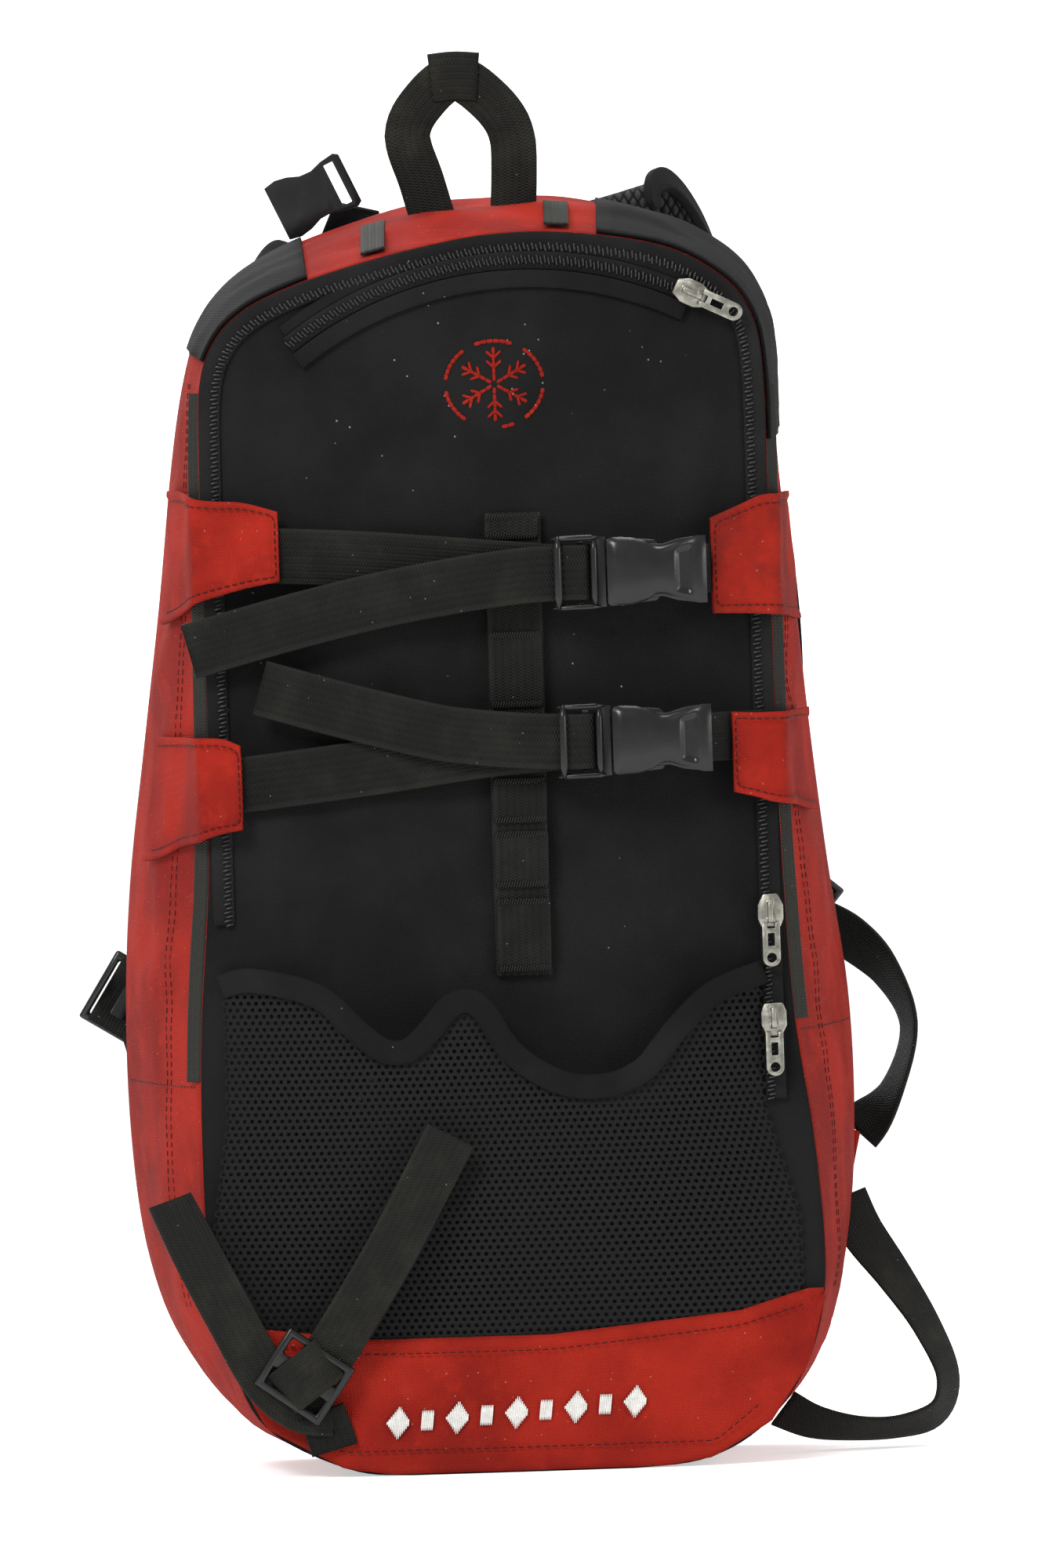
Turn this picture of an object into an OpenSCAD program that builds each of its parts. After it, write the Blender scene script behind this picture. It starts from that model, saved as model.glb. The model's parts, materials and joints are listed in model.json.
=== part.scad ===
// Ski backpack, standing on its base. Front faces -Y, the wearer's back is at +Y.

/* [Bag] */
// Depth of the bag at the base, front edge to back panel
base_depth = 112; // [100:1:130]
// Depth of the bag at the top
top_depth = 88; // [80:1:110]
// How far the front panel bulges in the middle
crown = 12; // [4:1:16]
// Thickness of the sewn fabric walls
wall = 3; // [2.5:0.5:4]

/* [Webbing] */
// Width of the webbing
web_w = 20; // [18:1:22]
// Thickness of the webbing
web_t = 1.6; // [1.2:0.1:1.8]

/* [Buckles] */
// Thickness of a side-release buckle
buckle_t = 8; // [7:0.5:9]

/* [Mesh pocket] */
// How far the stretch pocket stands off the front panel
pocket_gap = 13; // [8:1:16]
// Width of the pocket's binding
binding_w = 8.5; // [6:0.5:10]

/* [Shoulder straps] */
// Width of a shoulder pad
pad_w = 58; // [50:1:64]
// Thickness of a shoulder pad
pad_t = 9; // [6:1:12]

/* [Hidden] */

red = "firebrick";
black = [0.12, 0.12, 0.12];
strap_black = [0.18, 0.18, 0.17];
plastic = [0.2, 0.21, 0.22];
metal = [0.7, 0.7, 0.66];

back_y = 50;
base_front_y = back_y - base_depth;
top_front_y = back_y - top_depth;
body_h = 455;

// Outline of the front panel, from the middle of the base, round the right side, over the top.
front_outline = [[5, 0], [45, 0], [72, 3], [93, 15], [108, 36], [115, 66], [113, 112],
    [107, 160], [104.5, 210], [103.5, 260], [103.5, 310], [103.5, 350], [103, 394],
    [98.5, 413], [87, 426], [67, 436], [34, 441.5], [6, 441.5], [-19, 437.5], [-44, 431.5],
    [-65, 425], [-82, 417], [-93, 406], [-98.5, 390], [-99.5, 360], [-99.5, 310], [-99.5, 260],
    [-101, 210], [-105, 160], [-106, 115], [-104.5, 72], [-98, 42], [-86, 18], [-58, 3], [-35, 0]];
// Outline of the back panel, with one point for each point of the front outline.
back_outline = [[5, 0], [45, 0], [76, 3], [103, 20], [118, 46], [126, 80], [129, 120],
    [128, 165], [122, 212], [117, 262], [113, 312], [109, 353], [107, 400],
    [102, 421], [90, 435], [68, 446], [34, 454.5], [4, 455], [-20, 453.5], [-46, 446.5],
    [-68, 438.5], [-87, 427], [-99, 412], [-105.5, 393], [-111, 362], [-117, 312], [-124, 262],
    [-131, 210], [-134, 160], [-133, 112], [-128, 74], [-117, 44], [-95, 16], [-62, 3],
    [-35, 0]];
sides = len(front_outline);
// Where each gusset starts and ends along the outlines.
base_run = [33, 37];
right_run = [2, 15];
top_run = [15, 20];
left_run = [20, 33];

// Lower edge of the pocket's binding, left to right.
pocket_edge = [[-96, 172], [-80, 173.5], [-63, 168], [-50, 156], [-40, 148], [-31, 148],
    [-23, 155], [-16, 163], [-9, 165], [-3, 160], [2, 151], [9, 143], [20, 136], [31, 133],
    [43, 134], [53, 139], [59, 146], [67, 155], [79, 165], [94.6, 171]];
pocket_base_z = 50;

// Pocket zip: an arc on the front panel.
zip_centre = [17, 294];
zip_r = 138;
zip_start = 127;
zip_end = 65;

// Compression straps: height of each buckle line.
upper_z = 321;
lower_z = 260;
buckle_h = 11;
plug_x = 45;

function len_of(v) = sqrt(v * v);
function unit(v) = v / max(len_of(v), 0.000001);
function mix(a, b, t) = a + (b - a) * t;
function clamp(v, low, high) = max(low, min(high, v));
function curve_at(a, b, c, d, t) =
    0.5 * (2 * b + (c - a) * t + (2 * a - 5 * b + 4 * c - d) * t * t
        + (3 * b - a - 3 * c + d) * t * t * t);
// A smooth curve through the given points, with the given number of steps between two of them.
function smooth(p, steps) = let (last = len(p) - 1) [
    for (i = [0:last - 1])
        for (s = [0:steps - 1])
            curve_at(p[max(i - 1, 0)], p[i], p[i + 1], p[min(i + 2, last)], s / steps),
    p[last]];
function front_y(x, z) =
    mix(base_front_y, top_front_y, z / body_h)
    - crown * max(0, 1 - pow(x / 101, 2)) * max(0, 1 - pow((z - 200) / 245, 4));
// A point at height h above the front panel's face.
function on_front(x, z, h) = [x, front_y(x, z) - h, z];

// Place on the bag's side, at height h off it; side is 1 on the right and -1 on the left.
function run_of(side) = side > 0 ? [2:12] : [23:33];
function at_height(outline, side, z) = lookup(z, [for (i = run_of(side)) [outline[i][1], outline[i][0]]]);
function gusset_at(f, b, y, z) = let (
    edge_y = mix(base_front_y, top_front_y, z / body_h) + wall,
    mid_y = mix(edge_y, back_y, 0.45),
    m = mix(f, b, 0.62))
        y < mid_y ? mix(f, m, (y - edge_y) / (mid_y - edge_y))
            : mix(m, b, (y - mid_y) / (back_y - mid_y));
function on_side(side, y, z, h) =
    [gusset_at(at_height(front_outline, side, z), at_height(back_outline, side, z), y, z)
        + side * h, y, z];
function at_x(outline, x) = lookup(x, [for (i = [20:-1:15]) [outline[i][0], outline[i][1]]]);
function on_top(x, y, h) =
    [x, y, gusset_at(at_x(front_outline, x), at_x(back_outline, x), y, 440) + h];

// Closed solid through rings with the same number of points, capped at both ends. Each ring runs
// along one face of the wall and back along the other.
module loft(rings) {
    n = len(rings[0]);
    last = len(rings) - 1;
    points = [for (ring = rings) for (p = ring) p];
    walls = [for (r = [0:last - 1]) for (i = [0:n - 1]) let (
        a = r * n + i, b = r * n + (i + 1) % n) each [[a, b, b + n], [a, b + n, a + n]]];
    cap = [for (i = [0:n / 2 - 2]) each [[i, n - 1 - i, i + 1], [i + 1, n - 1 - i, n - 2 - i]]];
    high_cap = [for (f = cap) [f[0] + last * n, f[2] + last * n, f[1] + last * n]];
    polyhedron(points, concat(walls, cap, high_cap), convexity = 8);
}

// Strip of webbing along points [x, y, z, nx, ny, nz], where n is the normal of its face.
module strip(route, width, thick, steps = 3) {
    p = smooth(route, steps);
    last = len(p) - 1;
    loft([for (i = [0:last]) let (
        at = [p[i][0], p[i][1], p[i][2]],
        before = p[max(i - 1, 0)],
        after = p[min(i + 1, last)],
        along = unit([after[0] - before[0], after[1] - before[1], after[2] - before[2]]),
        across = unit(cross(along, [p[i][3], p[i][4], p[i][5]])),
        up = cross(across, along),
        w = across * width / 2,
        u = up * thick / 2) [at - w - u, at + w - u, at + w + u, at - w + u]]);
}

// Shell between two surfaces over a rounded outline; y_out and y_in give its faces.
module dome(outline, centre, rings, y_out, y_in) {
    n = len(outline);
    face = [for (r = [1:rings]) for (p = outline) let (q = mix(centre, p, r / rings)) q];
    flat = concat([centre], face);
    count = len(flat);
    points = concat([for (q = flat) [q[0], y_out(q[0], q[1]), q[1]]],
        [for (q = flat) [q[0], y_in(q[0], q[1]), q[1]]]);
    fan = [for (i = [0:n - 1]) [0, 1 + (i + 1) % n, 1 + i]];
    bands = [for (r = [0:rings - 2]) for (i = [0:n - 1]) let (
        a = 1 + r * n + i, b = 1 + r * n + (i + 1) % n) each [[a, b + n, a + n], [a, b, b + n]]];
    edge = [for (i = [0:n - 1]) let (
        a = 1 + (rings - 1) * n + i, b = 1 + (rings - 1) * n + (i + 1) % n)
            each [[a, b + count, a + count], [a, b, b + count]]];
    front = concat(fan, bands);
    back = [for (f = front) [f[0] + count, f[2] + count, f[1] + count]];
    polyhedron(points, concat(front, back, edge), convexity = 6);
}

// Sewn wall between the front and back outlines, from one outline point to another.
module gusset(run) {
    loft([for (i = [run[0]:run[1]]) let (
        f = front_outline[i % sides],
        b = back_outline[i % sides],
        f1 = front_outline[(i + 1) % sides],
        f0 = front_outline[(i + sides - 1) % sides],
        inward = unit([f0[1] - f1[1], f1[0] - f0[0]]),
        edge_y = front_y(f[0], f[1]) + wall + 0.1,
        fi = f + inward * wall,
        bi = b + inward * wall,
        mid = mix(f, b, 0.62),
        mid_y = mix(edge_y, back_y, 0.45)) [
            [fi[0], edge_y, fi[1]], [mid[0] + inward[0] * wall, mid_y, mid[1] + inward[1] * wall],
            [bi[0], back_y - 0.1, bi[1]], [b[0], back_y - 0.1, b[1]], [mid[0], mid_y, mid[1]],
            [f[0], edge_y, f[1]]]]);
}

module front_panel() {
    color(black) dome(front_outline, [0, 215], 6, function (x, z) front_y(x, z),
        function (x, z) front_y(x, z) + wall);
}
module side_left() {
    color(red) gusset(left_run);
}
module side_right() {
    color(red) gusset(right_run);
}
module top_panel() {
    color(red) gusset(top_run);
}
module base_panel() {
    color(black) gusset(base_run);
}
module back_panel() {
    color(black) dome(back_outline, [0, 215], 3, function (x, z) back_y,
        function (x, z) back_y + wall);
}
// Smaller copy of the back outline, for the layers inside the bag.
function shrink(p, k) = [for (q = p) [q[0] * k, 222 + (q[1] - 222) * k]];
module back_foam() {
    color("gray") dome(shrink(back_outline, 0.9), [0, 222], 2, function (x, z) back_y - 8,
        function (x, z) back_y - 0.4);
}
module frame_sheet() {
    color("white") dome(shrink(back_outline, 0.86), [0, 222], 2, function (x, z) back_y - 9.9,
        function (x, z) back_y - 8.4);
}
module inner_sleeve() {
    color(black) dome(shrink(back_outline, 0.84), [0, 222], 2, function (x, z) back_y - 22,
        function (x, z) back_y - 20.8);
}

// The lower front is wider, so patches on it spread sideways towards the bottom.
function spread(x, z) = x * (1 + (x > 0 ? 0.12 : 0.065) * clamp((128 - z) / 40, 0, 1));
// Rows across the front panel between two heights, standing h_in to h_out off its face.
module front_patch(rows, h_in, h_out) {
    loft([for (row = rows) let (x = row[0], low = row[1], high = row[2], n = 8) concat(
        [for (k = [0:n]) let (z = mix(low, high, k / n)) on_front(spread(x, z), z, h_out(x, z))],
        [for (k = [n:-1:0]) let (z = mix(low, high, k / n))
            on_front(spread(x, z), z, h_in(x, z))])]);
}
module bottom_band() {
    rows = [[-91, 42, 50], [-84, 26, 50], [-73, 14, 50], [-56, 4, 49], [-36, 1, 48], [-10, 1, 47],
        [20, 1, 48], [46, 1, 50], [64, 4, 53], [82, 16, 56], [95, 38, 58]];
    color(red) front_patch(rows, function (x, z) 1, function (x, z) 2.6);
}
function pocket_lift(x, z) =
    pocket_gap * max(0, 1 - pow(abs(x) / 97, 4)) * clamp((z - pocket_base_z) / 45, 0, 1);
module mesh_pocket() {
    rows = [for (p = smooth(pocket_edge, 1)) [clamp(p[0], -95.5, 94.6), 51 + max(0, p[0]) * 0.1,
        p[1] - 0.1]];
    color(black) front_patch(rows, function (x, z) 0.4 + pocket_lift(x, z),
        function (x, z) 1.8 + pocket_lift(x, z));
}
module pocket_binding() {
    rows = [for (p = smooth(pocket_edge, 1)) [p[0], p[1] + 0.05, p[1] + binding_w]];
    color(black) front_patch(rows, function (x, z) 0.2 + pocket_lift(x, z),
        function (x, z) 3 + pocket_lift(x, z));
}

module on_front_strip(route, width, thick, steps = 2) {
    strip([for (p = route) let (q = on_front(p[0], p[1], p[2])) [q[0], q[1], q[2], 0, -1, 0]],
        width, thick, steps);
}
module daisy_chain() {
    loops = [[179, 204], [209, 228], [232, 247], [273, 299], [333, 341]];
    color(strap_black) union() {
        on_front_strip([[11, 177, 1.2], [11, 230, 1.2], [11.5, 285, 1.2], [12, 342, 1.2]],
            web_w, web_t);
        for (span = loops)
            on_front_strip([[11.5, span[0], 2], [11.5, mix(span[0], span[1], 0.5), 4],
                [11.5, span[1], 2]], web_w - 1, web_t, 3);
    }
}
// Tape along the side seam, just behind the front panel.
module side_tape(side, span) {
    color(strap_black) strip([for (k = [0:5]) let (z = mix(span[0], span[1], k / 5),
        y = mix(base_front_y, top_front_y, z / body_h) + 9, q = on_side(side, y, z, 2.2))
            [q[0], q[1], q[2], side, -0.15, 0]], 8, 1, 2);
}
module side_tape_left() {
    side_tape(-1, [142, 388]);
}
module side_tape_right() {
    side_tape(1, [158, 385]);
}
module top_tapes() {
    color(strap_black) for (x = [-41, 31])
        strip([for (y = [-32, -18, -4, 10]) let (q = on_top(x, y, 2))
            [q[0], q[1], q[2], x < 0 ? -0.25 : 0.08, -0.15, 1]], 9, 1, 1);
}

// Zip path on the front panel, a little inside its outline: x and z.
zip_path = [[99.5, 130], [99.5, 170], [99.5, 210], [99.5, 260], [99.5, 310], [99.5, 350],
    [99, 393], [95, 410.5], [84.5, 422.5], [66, 432], [34, 437.5], [6, 437.5], [-18, 433.5],
    [-43, 427.5], [-63, 421.5], [-79.5, 413.5], [-89.5, 403.5], [-94.5, 389], [-95.5, 360],
    [-95.5, 310], [-95.5, 260], [-95.5, 225], [-95.5, 198]];
module main_zip() {
    color(black) union() {
        on_front_strip([for (p = zip_path) [p[0], p[1], p[1] < 200 ? 1.8 : 1.6]], 7, 0.8, 2);
        on_front_strip([for (p = zip_path) [p[0], p[1], 2.4]], 3, 1.2, 2);
    }
}
function zip_point(a) = [zip_centre[0] + zip_r * cos(a), zip_centre[1] + zip_r * sin(a)];
module pocket_zip() {
    color(black) union() {
        on_front_strip([for (k = [0:10]) let (q = zip_point(mix(zip_start, zip_end, k / 10)))
            [q[0], q[1], 1.2]], 6.5, 0.8, 1);
        on_front_strip([for (k = [0:10]) let (q = zip_point(mix(zip_start, zip_end, k / 10)))
            [q[0], q[1], 2]], 2.6, 1, 1);
    }
}
// Zip slider: its travel is along X, its face towards -Y, and the puller's bridge stands on it.
module slider() {
    color(metal) rotate([90, 0, 0]) union() {
        linear_extrude(2) polygon([[-6, -2.6], [-2, -4.6], [3, -4.6], [6, -3.4], [6, 3.4],
            [3, 4.6], [-2, 4.6], [-6, 2.6]]);
        translate([-3, -1, 2]) cube([1.4, 2, 2.4]);
        translate([3, -1, 2]) cube([1.4, 2, 2.4]);
        translate([-3, -1, 4.2]) cube([7.4, 2, 1]);
    }
}
// Zip puller: a plate with a ring hole, hung from the slider's bridge.
module puller() {
    color(metal) rotate([90, 0, 0]) difference() {
        union() {
            translate([2.6, -3.2, 0]) cube([12.6, 6.4, 1.2]);
            translate([15.2, 0, 0]) cylinder(h = 1.2, r = 3.2, $fn = 32);
        }
        translate([15.2, 0, -1]) cylinder(h = 4, r = 1.7, $fn = 24);
        translate([0, -1.4, -1]) cube([4.7, 2.8, 4]);
        translate([6.4, -1.2, -1]) cube([4.6, 2.4, 4]);
    }
}
pocket_slider_at = on_front(78, 418.5, 3.6);
main_slider_x = 99.5;
upper_slider_at = on_front(main_slider_x, 197, 3.6);
lower_slider_at = on_front(main_slider_x, 158, 3.6);
zip_lean = atan((top_front_y - base_front_y) / body_h);
module pocket_slider() {
    translate(pocket_slider_at) rotate([0, 26, 0]) slider();
}
module pocket_puller() {
    translate(pocket_slider_at + [1.6, -2.6, -0.7]) rotate([0, 26, 0]) puller();
}
module zip_slider_upper() {
    translate(upper_slider_at) rotate([-zip_lean, 0, 0]) rotate([0, 90, 0]) slider();
}
module zip_puller_upper() {
    translate(upper_slider_at + [0, -2.6, -1.6]) rotate([-zip_lean, 0, 0])
        rotate([0, 90, 0]) puller();
}
module zip_slider_lower() {
    translate(lower_slider_at) rotate([-zip_lean, 0, 0]) rotate([0, -90, 0]) slider();
}
module zip_puller_lower() {
    translate(lower_slider_at + [0, -2.6, -1.6]) rotate([-zip_lean, 0, 0])
        rotate([0, 90, 0]) puller();
}

// Sewn wing that carries a strap. It runs from the side, given as [y, low z, high z], round the
// corner and over the front, given as [x, height off the face, low z, high z].
wing_t = 1.8;
module wing(side, flank, front) {
    corner_low = mix(flank[2][1], front[0][2], 0.5);
    corner_high = mix(flank[2][2], front[0][3], 0.5);
    corner_x = at_height(front_outline, side, corner_low) + side * 2.6;
    corner_y = mix(base_front_y, top_front_y, corner_low / body_h) - 3;
    color(red) loft(concat(
        [for (f = flank) let (low = on_side(side, f[0], f[1], 3.2),
            high = on_side(side, f[0], f[2], 3.2), out = [side * wing_t, 0, 0])
                order(side, [low, low + out, high + out, high])],
        [let (low = [corner_x, corner_y, corner_low], high = [corner_x, corner_y, corner_high],
            out = [side * 0.8, -0.6, 0] * wing_t)
                order(side, [low, low + out, high + out, high])],
        [for (f = front) let (low = on_front(f[0], f[2], f[1]), high = on_front(f[0], f[3], f[1]),
            out = [0, -wing_t, 0]) order(side, [low, low + out, high + out, high])]));
}
function order(side, ring) = side > 0 ? [ring[3], ring[2], ring[1], ring[0]] : ring;
module wing_upper_left() {
    wing(-1, [[4, 305, 353], [-16, 307, 352], [-30, 310, 351]],
        [[-94, 5.4, 316, 348.5], [-84, 5.4, 318, 347.5], [-72, 5.4, 320, 344]]);
}
module wing_lower_left() {
    wing(-1, [[4, 220, 265], [-16, 222, 265], [-34, 226, 265]],
        [[-100, 7, 229.5, 264.5], [-94, 7.6, 231, 264], [-88, 8, 232, 261.5]]);
}
module wing_upper_right() {
    wing(1, [[4, 300, 346], [-16, 301, 346], [-30, 302, 346]],
        [[101, 6.6, 303, 345], [94, 7.4, 303.5, 342], [84, 11.6, 304, 337.5]]);
}
module wing_lower_right() {
    wing(1, [[4, 231, 268], [-16, 232, 268], [-34, 234, 268]],
        [[102, 6.6, 236, 267.5], [96, 7.4, 238, 267.5], [89, 9.6, 240, 268]]);
}

// Side-release buckle, its middle on the strap's line, the plug to the left of x = 0.
module socket() {
    color(plastic) rotate([90, 0, 0]) difference() {
        translate([0, 0, -buckle_t / 2]) linear_extrude(buckle_t) polygon([[0, -11.5], [5, -12.5],
            [10, -11.6], [15, -9.6], [20, -9.4], [25, -11], [31, -11.8], [33, -10.5],
            [33, 10.5], [31, 11.8], [25, 11], [20, 9.4], [15, 9.6], [10, 11.6], [5, 12.5],
            [0, 11.5]]);
        translate([-1, -10, -2.4]) cube([22, 20, 4.8]);
        translate([9, -14, -2.4]) cube([9, 28, 4.8]);
        translate([25.5, -9, -5]) cube([4, 18, 10]);
        translate([29, -9, -5]) cube([5, 18, 3.5]);
    }
}
// Plug: ladder frame for the webbing and a guide tongue; the prongs are separate.
module plug() {
    color(plastic) rotate([90, 0, 0]) union() {
        difference() {
            translate([-18.5, -12.5, -2.2]) cube([18.1, 25, 4.4]);
            translate([-19, -11.3, -5]) cube([15.4, 22.6, 10]);
        }
        translate([-18.5, -12, -1.2]) cube([2.4, 24, 2.4]);
        translate([-10.6, -12, -1.2]) cube([2.4, 24, 2.4]);
        translate([-2, -1.8, -1.6]) cube([18, 3.6, 3.2]);
    }
}
module prongs() {
    color(plastic) rotate([90, 0, 0]) for (s = [-1, 1])
        linear_extrude(3.4, center = true) polygon([[-0.3, s * 5.6], [6, s * 6], [14, s * 6.6],
            [19, s * 7], [19.5, s * 8.4], [17.4, s * 11], [11, s * 11.6], [10.6, s * 9.2],
            [5, s * 8], [-0.3, s * 8.6]]);
}
function buckle_at(z, dz) = [plug_x, front_y(27, z) - buckle_h, z + dz];
upper_buckle_at = buckle_at(upper_z, -1);
lower_buckle_at = buckle_at(lower_z, 0);
module upper_socket() {
    translate(upper_buckle_at) socket();
}
module lower_socket() {
    translate(lower_buckle_at) socket();
}
module upper_plug() {
    translate(upper_buckle_at) plug();
}
module lower_plug() {
    translate(lower_buckle_at) plug();
}
module upper_prongs() {
    translate(upper_buckle_at) prongs();
}
module lower_prongs() {
    translate(lower_buckle_at) prongs();
}
// Short webbing sewn to the right wing, folded round the socket's rear bar.
module short_web(at, x_end, z_end) {
    end = on_front(x_end, z_end, 4.3);
    mid = on_front(x_end - 8, z_end, 5.2);
    color(strap_black) strip([[at[0] + 27.5, at[1] - 1, at[2], 1, 0, 0],
        [at[0] + 27.6, at[1] + 1, at[2], 1, 0.2, 0], [at[0] + 30.5, at[1] + 3.2, at[2], 0.2, 1, 0],
        [at[0] + 35, at[1] + 3.4, at[2], 0, 1, 0],
        [mid[0], mid[1], mid[2], 0, 1, 0],
        [end[0], end[1], end[2], 0, 1, 0]], 17.4, web_t, 3);
}
module upper_web_right() {
    short_web(upper_buckle_at, 96, 320.5);
}
module lower_web_right() {
    short_web(lower_buckle_at, 99, 260);
}
// Compression webbing: from the left wing to the plug, round its bar, and back to the free end.
module compression_web(at, standing, tail) {
    fold = 2.45;
    color(strap_black) strip(concat(
        [for (p = standing) [p[0], p[1], p[2], 0, 1, 0]],
        [[at[0] - 15, at[1] + fold, at[2], 0, 1, 0],
            [at[0] - 8.6, at[1] + fold, at[2], 0, 1, 0],
            [at[0] - 6, at[1], at[2], 1, 0, 0],
            [at[0] - 8.6, at[1] - fold, at[2], 0, -1, 0],
            [at[0] - 16, at[1] - fold, at[2], 0, -1, 0]],
        [for (p = tail) [p[0], p[1], p[2], 0, -1, 0]]), web_w, web_t, 3);
}
function along_front(list) = [for (p = list) on_front(p[0], p[1], p[2])];
module upper_strap() {
    compression_web(upper_buckle_at,
        along_front([[-86, 330, 3.6], [-70, 329, 3.8], [-40, 327, 6.6], [0, 323, 8.2]]),
        along_front([[14, 319.5, 13.6], [-8, 317, 13], [-36, 312.5, 11.4], [-66, 306, 10.6],
            [-90, 300, 10], [-105, 296, 8.5]]));
}
module lower_strap() {
    compression_web(lower_buckle_at,
        along_front([[-97, 247, 4.8], [-86, 248, 4.6], [-40, 253, 6.6], [0, 258, 8.2]]),
        along_front([[12, 261, 13.6], [-6, 263, 13], [-20, 265.5, 12], [-50, 273.5, 10],
            [-80, 282.5, 9]]));
}

module haul_loop() {
    color(strap_black) strip([[-13, 16, 459.5, 0.2, -1, 0.1], [-18, 15.5, 469, 0.1, -1, 0.1],
        [-21.5, 15, 480, 0, -1, 0.1], [-17, 15, 491, 0, -1, 0.1], [-4, 15, 498, 0, -1, 0.1],
        [9, 15, 492, 0, -1, 0.1], [15, 15, 480, 0, -1, 0.1], [16.5, 15.5, 469, 0, -1, 0.1],
        [17, 16, 459.5, -0.1, -1, 0.1]], 16, 2, 2);
}

// Shoulder straps. The pad hangs behind the back panel from a sewn root; side is -1 or 1.
module strap_root(side) {
    color(black) translate([side * 38, 0, 0]) rotate([90, 0, 0])
        translate([-pad_w / 2, 404, -56]) cube([pad_w, 20, 2.6]);
}
module shoulder_pad(side, peak, z_end) {
    color(black) strip([[side * 38, 65, peak - 6, 0, 0.1, 1], [side * 41, 75, peak, 0, 0.4, 1],
        [side * 50, 89, peak - 6, 0, 1, 0.8], [side * 60, 98, peak - 26, 0, 1, 0.35],
        [side * 70, 102, 385, 0, 1, 0.1], [side * 80, 99, 340, 0, 1, -0.05],
        [side * 88, 92, 290, 0, 1, -0.15], [side * 93, 82, z_end + 20, 0, 1, -0.2],
        [side * 96, 78, z_end, 0, 1, -0.2]], pad_w, pad_t, 2);
}
module strap_root_left() {
    strap_root(-1);
}
module strap_root_right() {
    strap_root(1);
}
module shoulder_pad_left() {
    shoulder_pad(-1, 430, 205);
}
module shoulder_pad_right() {
    shoulder_pad(1, 452, 215);
}
// Ladder lock: an open frame with a middle bar, lying in its own plane.
module ladder_lock() {
    color(plastic) difference() {
        translate([-14, -12, -2]) cube([28, 24, 4]);
        translate([-11, -9.3, -3]) cube([22, 6.3, 6]);
        translate([-11, 3, -3]) cube([22, 6.3, 6]);
    }
}
module ladder_left() {
    translate([-134, 72, 168]) rotate([90, 0, 0]) rotate([0, 0, 58]) ladder_lock();
}
module ladder_right() {
    translate([110, 75, 199]) rotate([90, 0, 0]) rotate([0, 0, -40]) ladder_lock();
}
module lower_web_left() {
    color(strap_black) strip([[-128, 67, 158, 0.3, 1, 0], [-124, 60, 140, 0.4, 1, 0],
        [-124, 56.5, 118, 0.1, 1, 0]], 18, web_t, 3);
}
module lower_web_right_side() {
    color(strap_black) strip([[119, 72, 188, 0.3, 1, 0.2], [130, 71, 182, 0.5, 1, 0.3],
        [142, 66, 170, 0.9, 0.6, 0.2], [150, 63, 150, 1, 0.3, 0],
        [143, 61, 127, 1, 0.5, -0.3], [130, 59.2, 112, 0.1, 1, 0]], 18, web_t, 3);
}
module anchor_fin(side, x, z) {
    color(red) translate([x, 57.5, z]) rotate([90, 0, 0]) linear_extrude(3)
        polygon([[side * -26, -18], [side * -2, -14], [side * 3, 8], [side * -20, 16]]);
}
module anchor_fin_left() {
    anchor_fin(-1, -124, 102);
}
module anchor_fin_right() {
    anchor_fin(1, 128, 104);
}
module sternum_socket() {
    translate([-70, 73.4, 451.5]) rotate([0, -25, 0]) scale(0.9) socket();
}
module sternum_web_left() {
    color(strap_black) strip([[-41, 84, 453, 0, 1, 0.6], [-46, 96, 442, 0, 1, 0.6],
        [-58, 106, 414, 0, 1, 0.3]], 17, web_t, 3);
}
module sternum_plug() {
    translate([62, 110, 352]) rotate([0, 60, 0]) plug();
}
module sternum_web_right() {
    color(strap_black) strip([[56, 110, 380, 0, 1, 0], [60, 110.6, 388, 0, 1, 0],
        [66, 110.5, 400, 0, 1, 0.1]], 17, web_t, 3);
}

module ski_loop_right() {
    root = on_side(1, 36, 92, 4);
    color(strap_black) strip([[root[0], root[1], root[2], 1, 0.2, 0], [129, 34, 78, 1, 0.1, 0.4],
        [138, 32, 66, 0.7, 0, 0.7], [151, 28, 52, 0.8, 0, 0.6], [160, 23, 34, 1, 0, 0.1],
        [158, 17, 17, 0.9, 0, -0.4], [148, 11, 6, 0.5, 0, -0.9], [132, 5, 2.6, 0, 0, -1],
        [116, 0, 4.5, -0.2, 0, -1], [101, -3, 10, -0.4, 0, -1]], 17, web_t, 3);
}
module ski_anchor_left() {
    color(strap_black) strip([for (p = [[-62, 10, 4.4], [-64, 17, 5], [-66.5, 24, 8]])
        let (q = on_front(p[0], p[1], p[2])) [q[0], q[1], q[2], 0, -1, 0]], 17, web_t, 3);
}
ski_lock_at = [-72, front_y(-72, 36) - 12, 37];
module ski_ladder_left() {
    translate(ski_lock_at) rotate([0, 35, 0]) rotate([90, 0, 0]) ladder_lock();
}
module ski_strap_left() {
    y = ski_lock_at[1];
    color(strap_black) union() {
        strip([[-76, y - 3.4, 40, 0, -1, 0], [-90, y - 5, 56, 0, -1, 0],
            [-108, y - 3, 82, 0.1, -1, 0], [-122, y + 4, 106, 0.2, -1, 0]], web_w, web_t, 3);
        strip([[-70, y - 3.4, 44, 0, -1, 0], [-57, y - 9, 60, 0, -1, 0],
            [-38, y - 16, 88, 0, -1, 0], [-16, y - 17, 124, 0, -1, 0]], web_w, web_t, 3);
    }
}

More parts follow.
